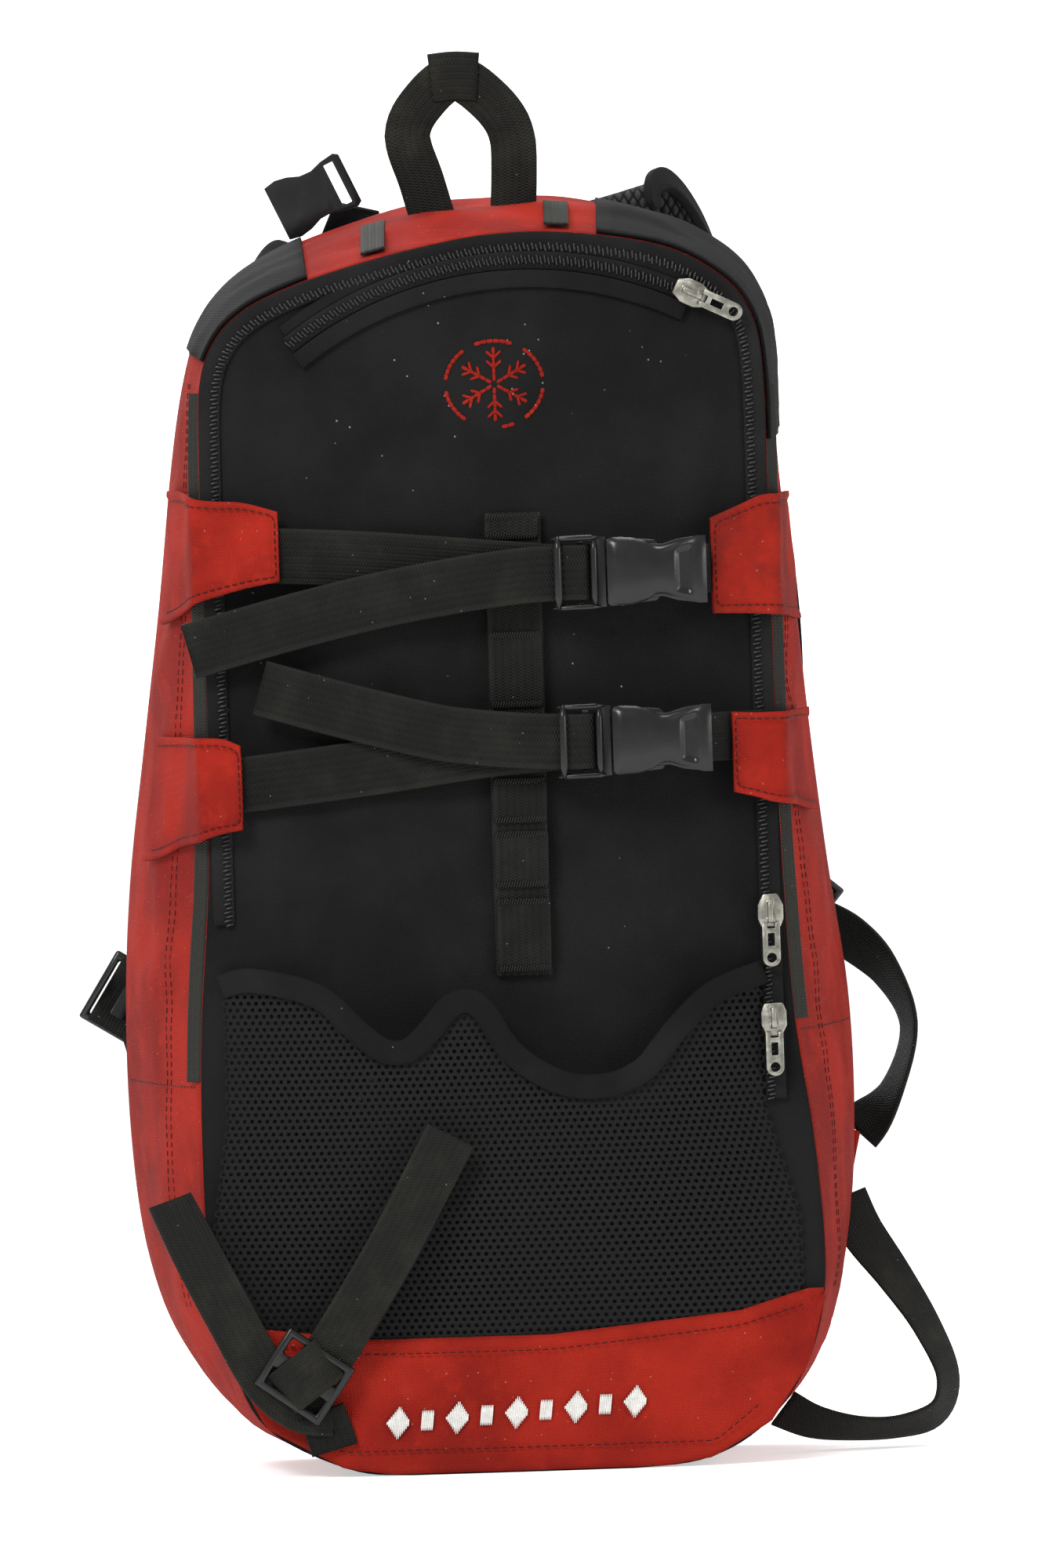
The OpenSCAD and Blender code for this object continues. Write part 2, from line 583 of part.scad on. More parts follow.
front_panel();
side_left();
side_right();
top_panel();
base_panel();
back_panel();
back_foam();
frame_sheet();
inner_sleeve();
bottom_band();
mesh_pocket();
pocket_binding();
daisy_chain();
side_tape_left();
side_tape_right();
top_tapes();
main_zip();
pocket_zip();
pocket_slider();
pocket_puller();
zip_slider_upper();
zip_puller_upper();
zip_slider_lower();
zip_puller_lower();
wing_upper_left();
wing_lower_left();
wing_upper_right();
wing_lower_right();
upper_socket();
lower_socket();
upper_web_right();
lower_web_right();
upper_plug();
lower_plug();
upper_prongs();
lower_prongs();
upper_strap();
lower_strap();
haul_loop();
strap_root_left();
strap_root_right();
shoulder_pad_left();
shoulder_pad_right();
ladder_left();
ladder_right();
lower_web_left();
lower_web_right_side();
anchor_fin_left();
anchor_fin_right();
sternum_socket();
sternum_web_left();
sternum_plug();
sternum_web_right();
ski_loop_right();
ski_anchor_left();
ski_ladder_left();
ski_strap_left();
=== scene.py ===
"""Ski backpack: cloth, webbing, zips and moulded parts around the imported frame."""
import json
import math

import bmesh
import bpy
import numpy as np
from mathutils import Matrix, Vector, noise


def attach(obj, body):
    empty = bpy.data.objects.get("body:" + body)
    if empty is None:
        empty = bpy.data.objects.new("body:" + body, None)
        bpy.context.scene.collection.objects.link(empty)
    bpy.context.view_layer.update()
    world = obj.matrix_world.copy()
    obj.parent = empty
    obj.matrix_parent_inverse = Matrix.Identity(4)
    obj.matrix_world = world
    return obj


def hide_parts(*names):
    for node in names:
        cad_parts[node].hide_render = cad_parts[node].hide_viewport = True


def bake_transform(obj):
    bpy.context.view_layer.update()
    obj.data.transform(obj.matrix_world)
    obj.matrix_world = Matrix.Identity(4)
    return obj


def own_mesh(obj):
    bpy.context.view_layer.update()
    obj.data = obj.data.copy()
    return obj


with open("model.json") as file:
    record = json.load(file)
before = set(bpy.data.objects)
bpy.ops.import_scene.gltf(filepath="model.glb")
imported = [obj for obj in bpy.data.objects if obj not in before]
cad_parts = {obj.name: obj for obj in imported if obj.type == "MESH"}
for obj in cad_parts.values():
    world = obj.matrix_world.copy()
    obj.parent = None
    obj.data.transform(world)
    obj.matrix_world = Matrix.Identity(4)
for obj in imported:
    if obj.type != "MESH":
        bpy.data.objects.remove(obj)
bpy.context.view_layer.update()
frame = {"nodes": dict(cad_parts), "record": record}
MM = 0.001

# ---------------- the bag's shape, in millimetres
BACK_Y, BASE_Y, TOP_Y, BODY_H, CROWN = 50.0, -62.0, -38.0, 455.0, 12.0
BEND_T, BEND_SHARE = 0.45, 0.62  # the side wall bends here, this far out from front to back
FRONT = [(5, 0), (45, 0), (72, 3), (93, 15), (108, 36), (115, 66), (113, 112), (107, 160),
         (104.5, 210), (103.5, 260), (103.5, 310), (103.5, 350), (103, 394), (98.5, 413),
         (87, 426), (67, 436), (34, 441.5), (6, 441.5), (-19, 437.5), (-44, 431.5), (-65, 425),
         (-82, 417), (-93, 406), (-98.5, 390), (-99.5, 360), (-99.5, 310), (-99.5, 260),
         (-101, 210), (-105, 160), (-106, 115), (-104.5, 72), (-98, 42), (-86, 18), (-58, 3),
         (-35, 0)]
BACK = [(5, 0), (45, 0), (76, 3), (103, 20), (118, 46), (126, 80), (129, 120), (128, 165),
        (122, 212), (117, 262), (113, 312), (109, 353), (107, 400), (102, 421), (90, 435),
        (68, 446), (34, 454.5), (4, 455), (-20, 453.5), (-46, 446.5), (-68, 438.5), (-87, 427),
        (-99, 412), (-105.5, 393), (-111, 362), (-117, 312), (-124, 262), (-131, 210),
        (-134, 160), (-133, 112), (-128, 74), (-117, 44), (-95, 16), (-62, 3), (-35, 0)]
RIGHT_RUN, TOP_RUN, LEFT_RUN, BASE_RUN = (2, 15), (15, 20), (20, 33), (33, 37)
POCKET_EDGE = [(-97, 172), (-86, 174), (-63, 168), (-50, 156), (-40, 148), (-31, 148),
               (-23, 155), (-16, 163), (-9, 165), (-3, 160), (2, 151), (9, 143), (20, 136),
               (31, 133), (43, 134), (53, 139), (59, 146), (67, 155), (79, 165), (96, 171)]
MAIN_ZIP = [(99.5, 130), (99.5, 170), (99.5, 210), (99.5, 260), (99.5, 310), (99.5, 350),
            (99, 393), (95, 410.5), (84.5, 422.5), (66, 432), (34, 437.5), (6, 437.5),
            (-18, 433.5), (-43, 427.5), (-63, 421.5), (-79.5, 413.5), (-89.5, 403.5),
            (-94.5, 389), (-95.5, 360), (-95.5, 310), (-95.5, 260), (-95.5, 225), (-95.5, 198)]
ZIP_CENTRE, ZIP_R, ZIP_START, ZIP_END = (17, 294), 138, 127, 65
UPPER_Z, LOWER_Z, BUCKLE_H, PLUG_X = 321, 260, 11, 45
POCKET_DEPTH = 13
FORWARD, UPRIGHT = (0, -1, 0), (0, 0, 1)
STEPS = 6  # points of the fine outlines for each of their own


def mix(a, b, t):
    return a + (b - a) * t


def smooth_step(low, high, v):
    t = min(1.0, max(0.0, (v - low) / (high - low)))
    return t * t * (3 - 2 * t)


def lump(x, y, z, size, seed=0.0):
    """Smooth random value, about -1 to 1, with features of the given size in millimetres."""
    return noise.noise(Vector((x / size + seed, y / size - seed, z / size + seed * 0.7)))


def front_y(x, z):
    crown = CROWN * max(0.0, 1 - (x / 101) ** 2) * max(0.0, 1 - ((z - 200) / 245) ** 4)
    return mix(BASE_Y, TOP_Y, z / BODY_H) - crown


def catmull(points, steps):
    """Smooth curve through the points, with the given steps between two of them."""
    p = np.array(points, float)
    last = len(p) - 1
    out = []
    for i in range(last):
        a, b, c, d = p[max(i - 1, 0)], p[i], p[i + 1], p[min(i + 2, last)]
        for s in range(steps):
            t = s / steps
            out.append(0.5 * (2 * b + (c - a) * t + (2 * a - 5 * b + 4 * c - d) * t ** 2
                              + (3 * b - a - 3 * c + d) * t ** 3))
    out.append(p[last])
    return np.array(out)


def travelled(p):
    """How far along a line each of its points is."""
    return np.concatenate([[0], np.cumsum(np.linalg.norm(np.diff(p[:, :3], axis=0), axis=1))])


def even(points, count):
    """The given number of points, evenly spaced along a line of points."""
    p = np.array(points, float)
    d = travelled(p)
    want = np.linspace(0, d[-1], count)
    return np.stack([np.interp(want, d, p[:, k]) for k in range(p.shape[1])], axis=1)


def length_of(points):
    return float(np.linalg.norm(np.diff(np.array(points, float)[:, :3], axis=0), axis=1).sum())


def unit(v):
    return v / max(np.linalg.norm(v), 1e-9)


def turn(count, start=0.0):
    """Angles evenly round a circle."""
    return [start + 2 * math.pi * k / count for k in range(count)]


def directions(p):
    """Across the band and out of its face, at each point of a route with normals."""
    rows = []
    for slope, normal in zip(np.gradient(p[:, :3], axis=0), p[:, 3:6]):
        along = unit(slope)
        across = unit(np.cross(along, normal))
        rows.append((across, np.cross(across, along)))
    return rows


# ---------------- materials
class Shader:
    """A procedural material: short helpers over its nodes. Lengths are in metres."""

    def __init__(self, name, roughness, specular=0.5, metallic=0.0):
        self.material = bpy.data.materials.new(name)
        self.material.use_nodes = True
        self.tree = self.material.node_tree
        self.shader = self.tree.nodes["Principled BSDF"]
        self.shader.inputs["Roughness"].default_value = roughness
        self.shader.inputs["Specular IOR Level"].default_value = specular
        self.shader.inputs["Metallic"].default_value = metallic
        self.coords = self.node("TexCoord").outputs["Object"]

    def put(self, socket, value):
        if isinstance(value, bpy.types.NodeSocket):
            self.tree.links.new(value, socket)
        else:
            socket.default_value = value

    def node(self, kind, settings=None, **inputs):
        """A new node with its settings, and values or sockets on its inputs."""
        made = self.tree.nodes.new("ShaderNode" + kind)
        for key, value in (settings or {}).items():
            setattr(made, key, value)
        for key, value in inputs.items():
            self.put(made.inputs[key.replace("_", " ")], value)
        return made

    def math(self, kind, a, b=0.0):
        made = self.node("Math", {"operation": kind})
        self.put(made.inputs[0], a)
        self.put(made.inputs[1], b)
        return made.outputs[0]

    def times(self, a, b):
        return self.math("MULTIPLY", a, b)

    def plus(self, a, b):
        return self.math("ADD", a, b)

    def inverse(self, a):
        return self.math("SUBTRACT", 1.0, a)

    def noise(self, size, detail=3.0, rough=0.55, stretch=None):
        source = self.coords
        if stretch:
            source = self.node("Mapping", Scale=stretch, Vector=source).outputs[0]
        return self.node("TexNoise", Scale=1 / size, Detail=detail, Roughness=rough,
                         Vector=source).outputs["Fac"]

    def specks(self, size, amount):
        """Small dots, 1 on a dot and 0 off it."""
        cells = self.node("TexVoronoi", Scale=1 / size, Vector=self.coords)
        return self.math("LESS_THAN", cells.outputs["Distance"], amount)

    def band(self, value, low, high):
        """0 below low, 1 above high, smooth between them."""
        return self.node("MapRange", {"interpolation_type": "SMOOTHSTEP"}, Value=value,
                         From_Min=low, From_Max=high).outputs["Result"]

    def blend(self, factor, a, b):
        return self.node("Mix", {"data_type": "RGBA"}, Factor=factor, A=a, B=b).outputs["Result"]

    def axes(self, vector=None):
        return self.node("SeparateXYZ", Vector=vector or self.coords).outputs

    def strap_uv(self):
        return self.axes(self.node("UVMap", {"uv_map": "strap"}).outputs["UV"])

    def ribs(self, value, pitch):
        """Rounded ribs across a coordinate, 0 to 1."""
        return self.math("ABSOLUTE", self.math("SINE", self.times(value, math.pi / pitch)))

    def bump(self, height, distance, strength=1.0):
        made = self.node("Bump", Distance=distance, Strength=strength, Height=height)
        before = self.shader.inputs["Normal"].links
        if before:
            self.tree.links.new(before[0].from_socket, made.inputs["Normal"])
        self.tree.links.new(made.outputs[0], self.shader.inputs["Normal"])

    def colour(self, value):
        self.put(self.shader.inputs["Base Color"], value)

    def rough(self, value):
        self.put(self.shader.inputs["Roughness"], value)


def plain_weave(s, pitch):
    """Crossing threads on the front-facing plane of the cloth."""
    x, y, z = s.axes()[:3]
    return s.times(s.ribs(s.plus(x, y), pitch), s.ribs(z, pitch))


def red_cloth(name, stain):
    s = Shader(name, 0.85, specular=0.08)
    base = s.blend(s.band(s.noise(0.05, 4), 0.34, 0.66), (0.2, 0.01, 0.006, 1),
                   (0.35, 0.019, 0.009, 1))
    base = s.blend(s.band(s.noise(0.016, 5, 0.65), 0.5, 0.78), base, (0.38, 0.022, 0.011, 1))
    soil = s.band(s.noise(0.034, 6, 0.7), 0.63 - stain, 0.8 - stain * 0.6)
    base = s.blend(s.times(soil, 0.62), base, (0.045, 0.012, 0.01, 1))
    weave = plain_weave(s, 0.00062)
    # painted shade: the gaps between the threads are darkened where the weave's bump is low
    weave_gap_shade = s.times(s.inverse(weave), 0.45)
    base = s.blend(weave_gap_shade, base, (0.1, 0.006, 0.005, 1))
    base = s.blend(s.times(s.specks(0.0042, 0.07), 0.3), base, (0.5, 0.32, 0.26, 1))
    s.colour(base)
    s.bump(s.noise(0.012, 4), 0.0011, 0.55)
    s.bump(weave, 0.00022, 0.9)
    return s.material


def black_cloth(name, tone, weave_pitch, dust=0.5):
    s = Shader(name, 0.85, specular=0.1)
    dark = tuple(c * 0.65 for c in tone) + (1,)
    light = tuple(c * 1.5 for c in tone) + (1,)
    base = s.blend(s.band(s.noise(0.06, 4), 0.35, 0.68), dark, light)
    weave = plain_weave(s, weave_pitch)
    # painted shade: the gaps between the threads are darkened where the weave's bump is low
    base = s.blend(s.times(s.inverse(weave), 0.4), base, dark)
    patch = s.band(s.noise(0.08, 3), 0.5, 0.66)
    lint = s.times(s.times(s.specks(0.006, 0.055), patch), dust)
    base = s.blend(lint, base, (0.4, 0.38, 0.36, 1))
    s.colour(base)
    s.bump(s.noise(0.014, 4), 0.0008, 0.4)
    s.bump(weave, 0.00016, 0.8)
    return s.material


def webbing_cloth(name, tone, worn):
    s = Shader(name, 0.7, specular=0.12)
    across, along = s.strap_uv()[:2]
    row = s.ribs(along, 0.0011)
    shift = s.times(s.math("FLOOR", s.math("DIVIDE", across, 0.0013)), 0.00055)
    twill = s.ribs(s.plus(along, shift), 0.0011)
    column = s.ribs(across, 0.0013)
    height = s.times(twill, s.plus(s.times(column, 0.6), 0.4))
    dark = tuple(c * 0.55 for c in tone) + (1,)
    # painted shade in the twill's grooves: darker where the weave's bump is low
    base = s.blend(s.times(s.inverse(height), 0.7), tone + (1,), dark)
    fade = s.times(s.band(s.noise(0.022, 5, 0.65), 0.42, 0.75), worn)
    base = s.blend(fade, base, (0.022, 0.0215, 0.016, 1))
    edge = s.band(s.math("ABSOLUTE", across), 0.0072, 0.0096)
    base = s.blend(s.times(edge, 0.15), base, (0.035, 0.034, 0.028, 1))
    base = s.blend(s.times(s.specks(0.0045, 0.05), 0.35), base, (0.35, 0.33, 0.3, 1))
    s.colour(base)
    s.bump(row, 0.0001, 0.5)
    s.bump(height, 0.00032, 1.0)
    return s.material


def moulded(name, tone, roughness):
    s = Shader(name, roughness, specular=0.32)
    scratch = s.band(s.noise(0.0011, 4, 0.6, (1, 1, 7)), 0.62, 0.72)
    wear = s.times(scratch, s.band(s.noise(0.012, 3), 0.45, 0.65))
    base = s.blend(s.noise(0.02, 3), tone + (1,), tuple(c * 1.3 for c in tone) + (1,))
    s.colour(s.blend(s.times(wear, 0.16), base, (0.1, 0.105, 0.11, 1)))
    grain = s.plus(s.times(s.noise(0.004, 4), 0.16), roughness - 0.08)
    s.rough(s.plus(s.times(wear, 0.25), grain))
    s.bump(s.noise(0.0016, 3), 0.00005, 0.5)
    return s.material


def metal(name):
    s = Shader(name, 0.34, metallic=1.0)
    base = s.blend(s.band(s.noise(0.003, 4), 0.4, 0.7), (0.2, 0.195, 0.165, 1), (0.34, 0.33, 0.29, 1))
    s.colour(s.blend(s.band(s.noise(0.0016, 5), 0.6, 0.74), base, (0.16, 0.14, 0.1, 1)))
    s.rough(s.plus(s.times(s.noise(0.0014, 4), 0.35), 0.2))
    s.bump(s.noise(0.0009, 3), 0.00006, 0.6)
    return s.material


def knit_back(name):
    """Spacer mesh of the wearer's side: rows of small cells."""
    s = Shader(name, 0.88, specular=0.1)
    x, _, z = s.axes()[:3]
    slant, pitch = s.times(z, 0.58), 0.0034
    cells = s.times(s.ribs(s.plus(x, slant), pitch),
                    s.ribs(s.math("SUBTRACT", x, slant), pitch))
    # painted shade in the knit's holes: dark where the cells' bump is low, lighter on their rims
    base = s.blend(s.band(cells, 0.1, 0.5), (0.004, 0.004, 0.004, 1), (0.03, 0.03, 0.031, 1))
    s.colour(s.blend(s.times(s.band(s.noise(0.05, 4), 0.5, 0.75), 0.35), base,
                     (0.05, 0.048, 0.042, 1)))
    s.bump(cells, 0.0009, 0.9)
    return s.material


def thread(name, tone, roughness=0.6):
    s = Shader(name, roughness, specular=0.15)
    s.colour(s.blend(s.noise(0.003, 3), tuple(c * 0.6 for c in tone) + (1,), tone + (1,)))
    s.bump(s.noise(0.0006, 2), 0.0001, 0.6)
    return s.material


RED = red_cloth("red_nylon", 0.0)
RED_STAINED = red_cloth("red_nylon_stained", 0.24)
SOFTSHELL = black_cloth("black_softshell", (0.0064, 0.0062, 0.0063), 0.0007)
HARNESS = black_cloth("harness_cloth", (0.0034, 0.0033, 0.0033), 0.0008, 0.2)
BINDING = black_cloth("stretch_binding", (0.0075, 0.0072, 0.0072), 0.0005, 0.3)
LATTICE = thread("pocket_knit", (0.0065, 0.0065, 0.0066), 0.8)
GROSGRAIN = webbing_cloth("grosgrain_tape", (0.022, 0.022, 0.019), 0.5)
WEBBING = webbing_cloth("black_webbing", (0.0056, 0.0056, 0.0052), 0.3)
WEBBING_WORN = webbing_cloth("worn_webbing", (0.0085, 0.0085, 0.0072), 0.6)
ZIP_TAPE = black_cloth("zip_tape", (0.01, 0.01, 0.01), 0.0004, 0.1)
COIL = moulded("zip_coil", (0.012, 0.012, 0.012), 0.3)
ACETAL = moulded("buckle_acetal", (0.0055, 0.0056, 0.0058), 0.25)
NICKEL = metal("dull_nickel")
SPACER = knit_back("spacer_mesh")
RED_THREAD = thread("dark_red_thread", (0.035, 0.004, 0.004))
BLACK_THREAD = thread("black_thread", (0.012, 0.0115, 0.011))
WHITE_THREAD = thread("white_thread", (0.72, 0.71, 0.68))
PRINT = red_cloth("worn_red_print", 0.12)
FOAM = thread("grey_foam", (0.12, 0.12, 0.12), 0.9)
SHEET = moulded("frame_sheet_plastic", (0.5, 0.5, 0.48), 0.4)


# ---------------- mesh helpers
def piece(name, verts, faces, material, body="pack", replaces=None, uv=None, thick=0.0,
          inward=1.0):
    """A piece of the model from vertices in millimetres, riding on a body."""
    mesh = bpy.data.meshes.new(name)
    mesh.from_pydata([tuple(float(c) * MM for c in v) for v in verts], [], faces)
    if uv is not None:
        layer = mesh.uv_layers.new(name="strap")
        index = np.empty(len(mesh.loops), int)
        mesh.loops.foreach_get("vertex_index", index)
        layer.data.foreach_set("uv", np.array(uv, float)[index].ravel())
    obj = bpy.data.objects.new(name, mesh)
    bpy.context.collection.objects.link(obj)
    mesh.materials.append(material)
    mesh.shade_smooth()
    if thick:
        wall = obj.modifiers.new("wall", "SOLIDIFY")
        wall.thickness = thick * MM
        wall.offset = -inward
        apply_modifiers(obj)
    if body:
        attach(obj, body)
    if replaces:
        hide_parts(replaces)
    return obj


def cloth(name, verts, faces, material, node, thick=0.0, inward=1.0, uv=None):
    """A piece that is a sheet of cloth, standing in for its CAD node."""
    obj = piece(name, verts, faces, material, replaces=node, uv=uv, thick=thick,
                inward=inward)


def apply_modifiers(obj):
    bpy.context.view_layer.update()
    graph = bpy.context.evaluated_depsgraph_get()
    mesh = bpy.data.meshes.new_from_object(obj.evaluated_get(graph))
    old = obj.data
    obj.modifiers.clear()
    obj.data = mesh
    mesh.name = obj.name
    bpy.data.meshes.remove(old)


def loft(rings, closed=True, caps=True):
    """Faces over rings with the same number of points."""
    n, last = len(rings[0]), len(rings) - 1
    verts = [tuple(p) for ring in rings for p in ring]
    faces = []
    for r in range(last):
        for i in range(n if closed else n - 1):
            a, b = r * n + i, r * n + (i + 1) % n
            faces.append((a, b, b + n, a + n))
    if caps and closed:
        faces.append(tuple(range(n - 1, -1, -1)))
        faces.append(tuple(last * n + i for i in range(n)))
    return verts, faces


PROFILE = [(-1, 0), (-0.985, 0.7), (-0.93, 1), (-0.5, 0.92), (0, 0.9), (0.5, 0.92), (0.93, 1),
           (0.985, 0.7), (1, 0), (0.985, -0.7), (0.93, -1), (0.5, -0.92), (0, -0.9),
           (-0.5, -0.92), (-0.93, -1), (-0.985, -0.7)]


def band_mesh(route, width, thick, steps=6):
    """Webbing along [x, y, z, nx, ny, nz]: its vertices, faces and (across, along) coordinates."""
    p = catmull(route, steps)
    p = even(p, max(8, int(length_of(p) / 2.4)))
    rings, uv = [], []
    for at, travel, (across, up) in zip(p[:, :3], travelled(p), directions(p)):
        rings.append([at + across * u * width / 2 + up * v * thick / 2 for u, v in PROFILE])
        uv += [(u * width / 2 * MM, travel * MM) for u, v in PROFILE]
    verts, faces = loft(rings)
    return verts, faces, uv


def webbing(name, route, width, thick, body="pack", material=WEBBING,
            replaces=None):
    verts, faces, uv = band_mesh(route, width, thick)
    return piece(name, verts, faces, material, body, replaces, uv)


def merged(name, parts, material, body="pack", replaces=None):
    """One piece of several (verts, faces, uv) parts."""
    verts, faces, uv = [], [], []
    for part in parts:
        base = len(verts)
        verts += list(part[0])
        faces += [tuple(i + base for i in f) for f in part[1]]
        uv += list(part[2]) if len(part) > 2 else []
    return piece(name, verts, faces, material, body, replaces, uv or None)


def pill(at, along, up, length, width, height):
    """A small rounded bead, such as a stitch or a zip tooth."""
    along, up = unit(np.array(along, float)), unit(np.array(up, float))
    across = unit(np.cross(along, up))
    up = np.cross(across, along)
    rings = []
    for s, k in ((-0.5, 0.45), (-0.32, 0.95), (0.32, 0.95), (0.5, 0.45)):
        centre = np.array(at) + along * s * length
        rings.append([centre + across * math.cos(a) * width / 2 * k
                      + up * math.sin(a) * height / 2 * k
                      for a in turn(6, math.pi / 6)])
    return loft(rings)


def stitches(points, normal, pitch=3.0, size=2.1, lift=0.1):
    """Stitches along a line of points, all facing one way."""
    width, height = 0.5, 0.42
    p = even(points, max(2, int(length_of(points) / pitch)) + 1)
    raised = unit(np.array(normal, float)) * lift
    return [pill((a + b) / 2 + raised, b - a, normal, size, width, height)
            for a, b in zip(p, p[1:])]


def softened(node, width, material, body=None, segments=2):
    """The CAD node's own shape with its edges rounded."""
    source = frame["nodes"][node]
    obj = bpy.data.objects.new(node + "_moulded", source.data.copy())
    bpy.context.collection.objects.link(obj)
    work = bmesh.new()
    work.from_mesh(obj.data)
    bmesh.ops.remove_doubles(work, verts=work.verts, dist=1e-6)
    bmesh.ops.dissolve_limit(work, angle_limit=math.radians(2), verts=work.verts,
                             edges=work.edges)
    work.to_mesh(obj.data)
    work.free()
    obj.data.materials.clear()
    obj.data.materials.append(material)
    round_edge = obj.modifiers.new("round", "BEVEL")
    round_edge.width = width * MM
    round_edge.segments = segments
    round_edge.limit_method = "ANGLE"
    round_edge.angle_limit = math.radians(32)
    round_edge.use_clamp_overlap = True
    apply_modifiers(obj)
    obj.data.shade_smooth()
    obj.data.set_sharp_from_angle(angle=math.radians(40))
    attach(obj, body or body_of_node(node))
    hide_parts(node)
    return obj


def body_of_node(node):
    return next(b for b, nodes in frame["record"]["behaviour"]["bodies"].items() if node in nodes)


# ---------------- bag panels
def closed_outline(points):
    """The outline as a closed smooth curve, with STEPS points for each of its own."""
    ring = [points[-1]] + list(points) + [points[0], points[1]]
    return catmull(ring, STEPS)[STEPS:(len(points) + 1) * STEPS]


FRONT_FINE, BACK_FINE = closed_outline(FRONT), closed_outline(BACK)
POCKET_LINE = catmull(POCKET_EDGE, 6)


def disc(centre, outline, rings, power):
    """Flat points of a disc in rings round a centre, and its faces towards the front."""
    count = len(outline)
    flat = [centre] + [mix(centre, p, (r / rings) ** power) for r in range(1, rings + 1)
                       for p in outline]
    faces = [(0, 1 + i, 1 + (i + 1) % count) for i in range(count)]
    for r in range(rings - 1):
        for i in range(count):
            a, b = 1 + r * count + i, 1 + r * count + (i + 1) % count
            faces.append((a, a + count, b + count, b))
    return flat, faces


def front_dent(x, z):
    """Wrinkles and hollows of the soft front, towards the wearer when positive."""
    fade = max(0.0, 1 - (abs(x) / 92) ** 6) * smooth_step(60, 120, z) * (1 - smooth_step(385, 402, z))
    big = 3.0 * lump(x, 0, z * 0.8, 60, 3.1) + 1.6 * lump(x, 0, z, 24, 7.7)
    upright = 2.6 * math.sin(x / 4.6 + 1.3 * math.sin(z / 37)) * smooth_step(52, 78, abs(x))
    upright *= smooth_step(-0.1, 0.45, lump(x * 0.2, 3, z, 60, 5.7) + 0.15)
    folds = 1.3 * math.sin((z + 0.5 * x) / 8) * smooth_step(0.1, 0.6, lump(x, 5, z, 55, 1.3) + 0.3)
    pinch = sum(2.2 * math.exp(-((z - level) / 12) ** 2) for level in (UPPER_Z, LOWER_Z))
    return (big + folds + upright + pinch + 0.6) * fade


def front_face(x, z):
    return front_y(x, z) + front_dent(x, z)


def front_panel():
    flat, faces = disc(np.array([0.0, 215.0]), FRONT_FINE, 34, 0.9)
    verts = [(x, front_face(x, z), z) for x, z in flat]
    cloth("front_cloth", verts, faces, SOFTSHELL, "front_panel", 1.6)


def wall_point(i, t, lift=0.0):
    """Point of the side wall at outline sample i, a share t of the way back, with its wrinkles."""
    total = len(FRONT_FINE)
    f, b = FRONT_FINE[i % total], BACK_FINE[i % total]
    before, after = FRONT_FINE[(i - 1) % total], FRONT_FINE[(i + 1) % total]
    out = unit(np.array([after[1] - before[1], before[0] - after[0]]))
    y = mix(front_y(f[0], f[1]) + 0.6, BACK_Y, t)
    if t < BEND_T:
        q = mix(f, b, t * BEND_SHARE / BEND_T)
    else:
        q = mix(f, b, mix(BEND_SHARE, 1, (t - BEND_T) / (1 - BEND_T)))
    puff = smooth_step(6, 50, q[1])
    rough = 2.0 * lump(q[0], y, q[1], 42, 2.2) + 1.0 * lump(q[0], y, q[1], 15, 5.1)
    crease = 2.2 * math.sin(q[1] / 6.5 + y / 14) * max(0.0, lump(q[0], y, q[1], 50, 9))
    q = q + out * ((rough + crease + 0.8) * puff * math.sin(math.pi * t) + lift)
    return (q[0], y, max(0.0, q[1]))


def gusset(name, run, material, node=None, lift=0.0, thick=1.4):
    """Cloth of the side wall between two places of the outline."""
    across = 22
    first, last = round(run[0] * STEPS), round(run[1] * STEPS)
    rings = [[wall_point(i, j / across, lift) for j in range(across + 1)]
             for i in range(first, last + 1)]
    verts, faces = loft(rings, closed=False)
    cloth(name, verts, faces, material, node, thick)
    return rings


def place_on_side(rings, z, t):
    """The point of a side wall nearest to a height, at a share t of the way back."""
    j = int(round(t * (len(rings[0]) - 1)))
    line = np.array([ring[j] for ring in rings])
    order = np.argsort(line[:, 2])
    return np.array([np.interp(z, line[order, 2], line[order, k]) for k in range(3)])


def back_face(x, z):
    """The padded back: two long foam channels with two seams across them."""
    half = max(40.0, float(np.interp(z, [0, 40, 110, 455], [60, 115, 130, 88])))
    out = min(1.0, abs(x) / half)
    ends = smooth_step(20, 60, z) * (1 - smooth_step(375, 415, z))
    channel = abs(math.sin(math.pi * out)) ** 0.45
    seams = 1 - sum(0.5 * math.exp(-((z - level) / 7) ** 2) for level in (150, 285))
    return BACK_Y + 2.4 + 6.2 * channel * (1 - out ** 4) * ends * seams


def back_panel():
    flat, faces = disc(np.array([0.0, 222.0]), BACK_FINE, 30, 0.85)
    verts = [(x, back_face(x, z), z) for x, z in flat]
    turned = [face[:1] + face[:0:-1] for face in faces]
    cloth("back_mesh", verts, turned, SPACER, "back_panel", 1.2)


def back_piping():
    """Round piping along the edge of the back, clear of the floor."""
    radius, floor = 1.6, 0.1
    edge = [np.array([x, BACK_Y + 1.6, z]) for x, z in BACK_FINE[::2]]
    wearer, total, rings = np.array([0, 1.0, 0]), len(edge), []
    for i in range(total + 1):
        at = edge[i % total]
        out = unit(np.cross(unit(edge[(i + 1) % total] - edge[i - 1]), wearer))
        centre = at + out * 1.8 + np.array([0, 0, 0.2 * (at[2] < 2)])
        ring = [centre + (out * math.cos(w) + wearer * math.sin(w)) * radius for w in turn(8)]
        rings.append([(x, y, max(floor, z)) for x, y, z in ring])
    verts, faces = loft(rings, caps=False)
    piece("back_piping", verts, faces, BINDING)


def front_strip_mesh(line, lift, width, thick):
    route = [(x, front_y(x, z) - lift, z, 0, -1, 0) for x, z in line]
    return band_mesh(route, width, thick, steps=4)


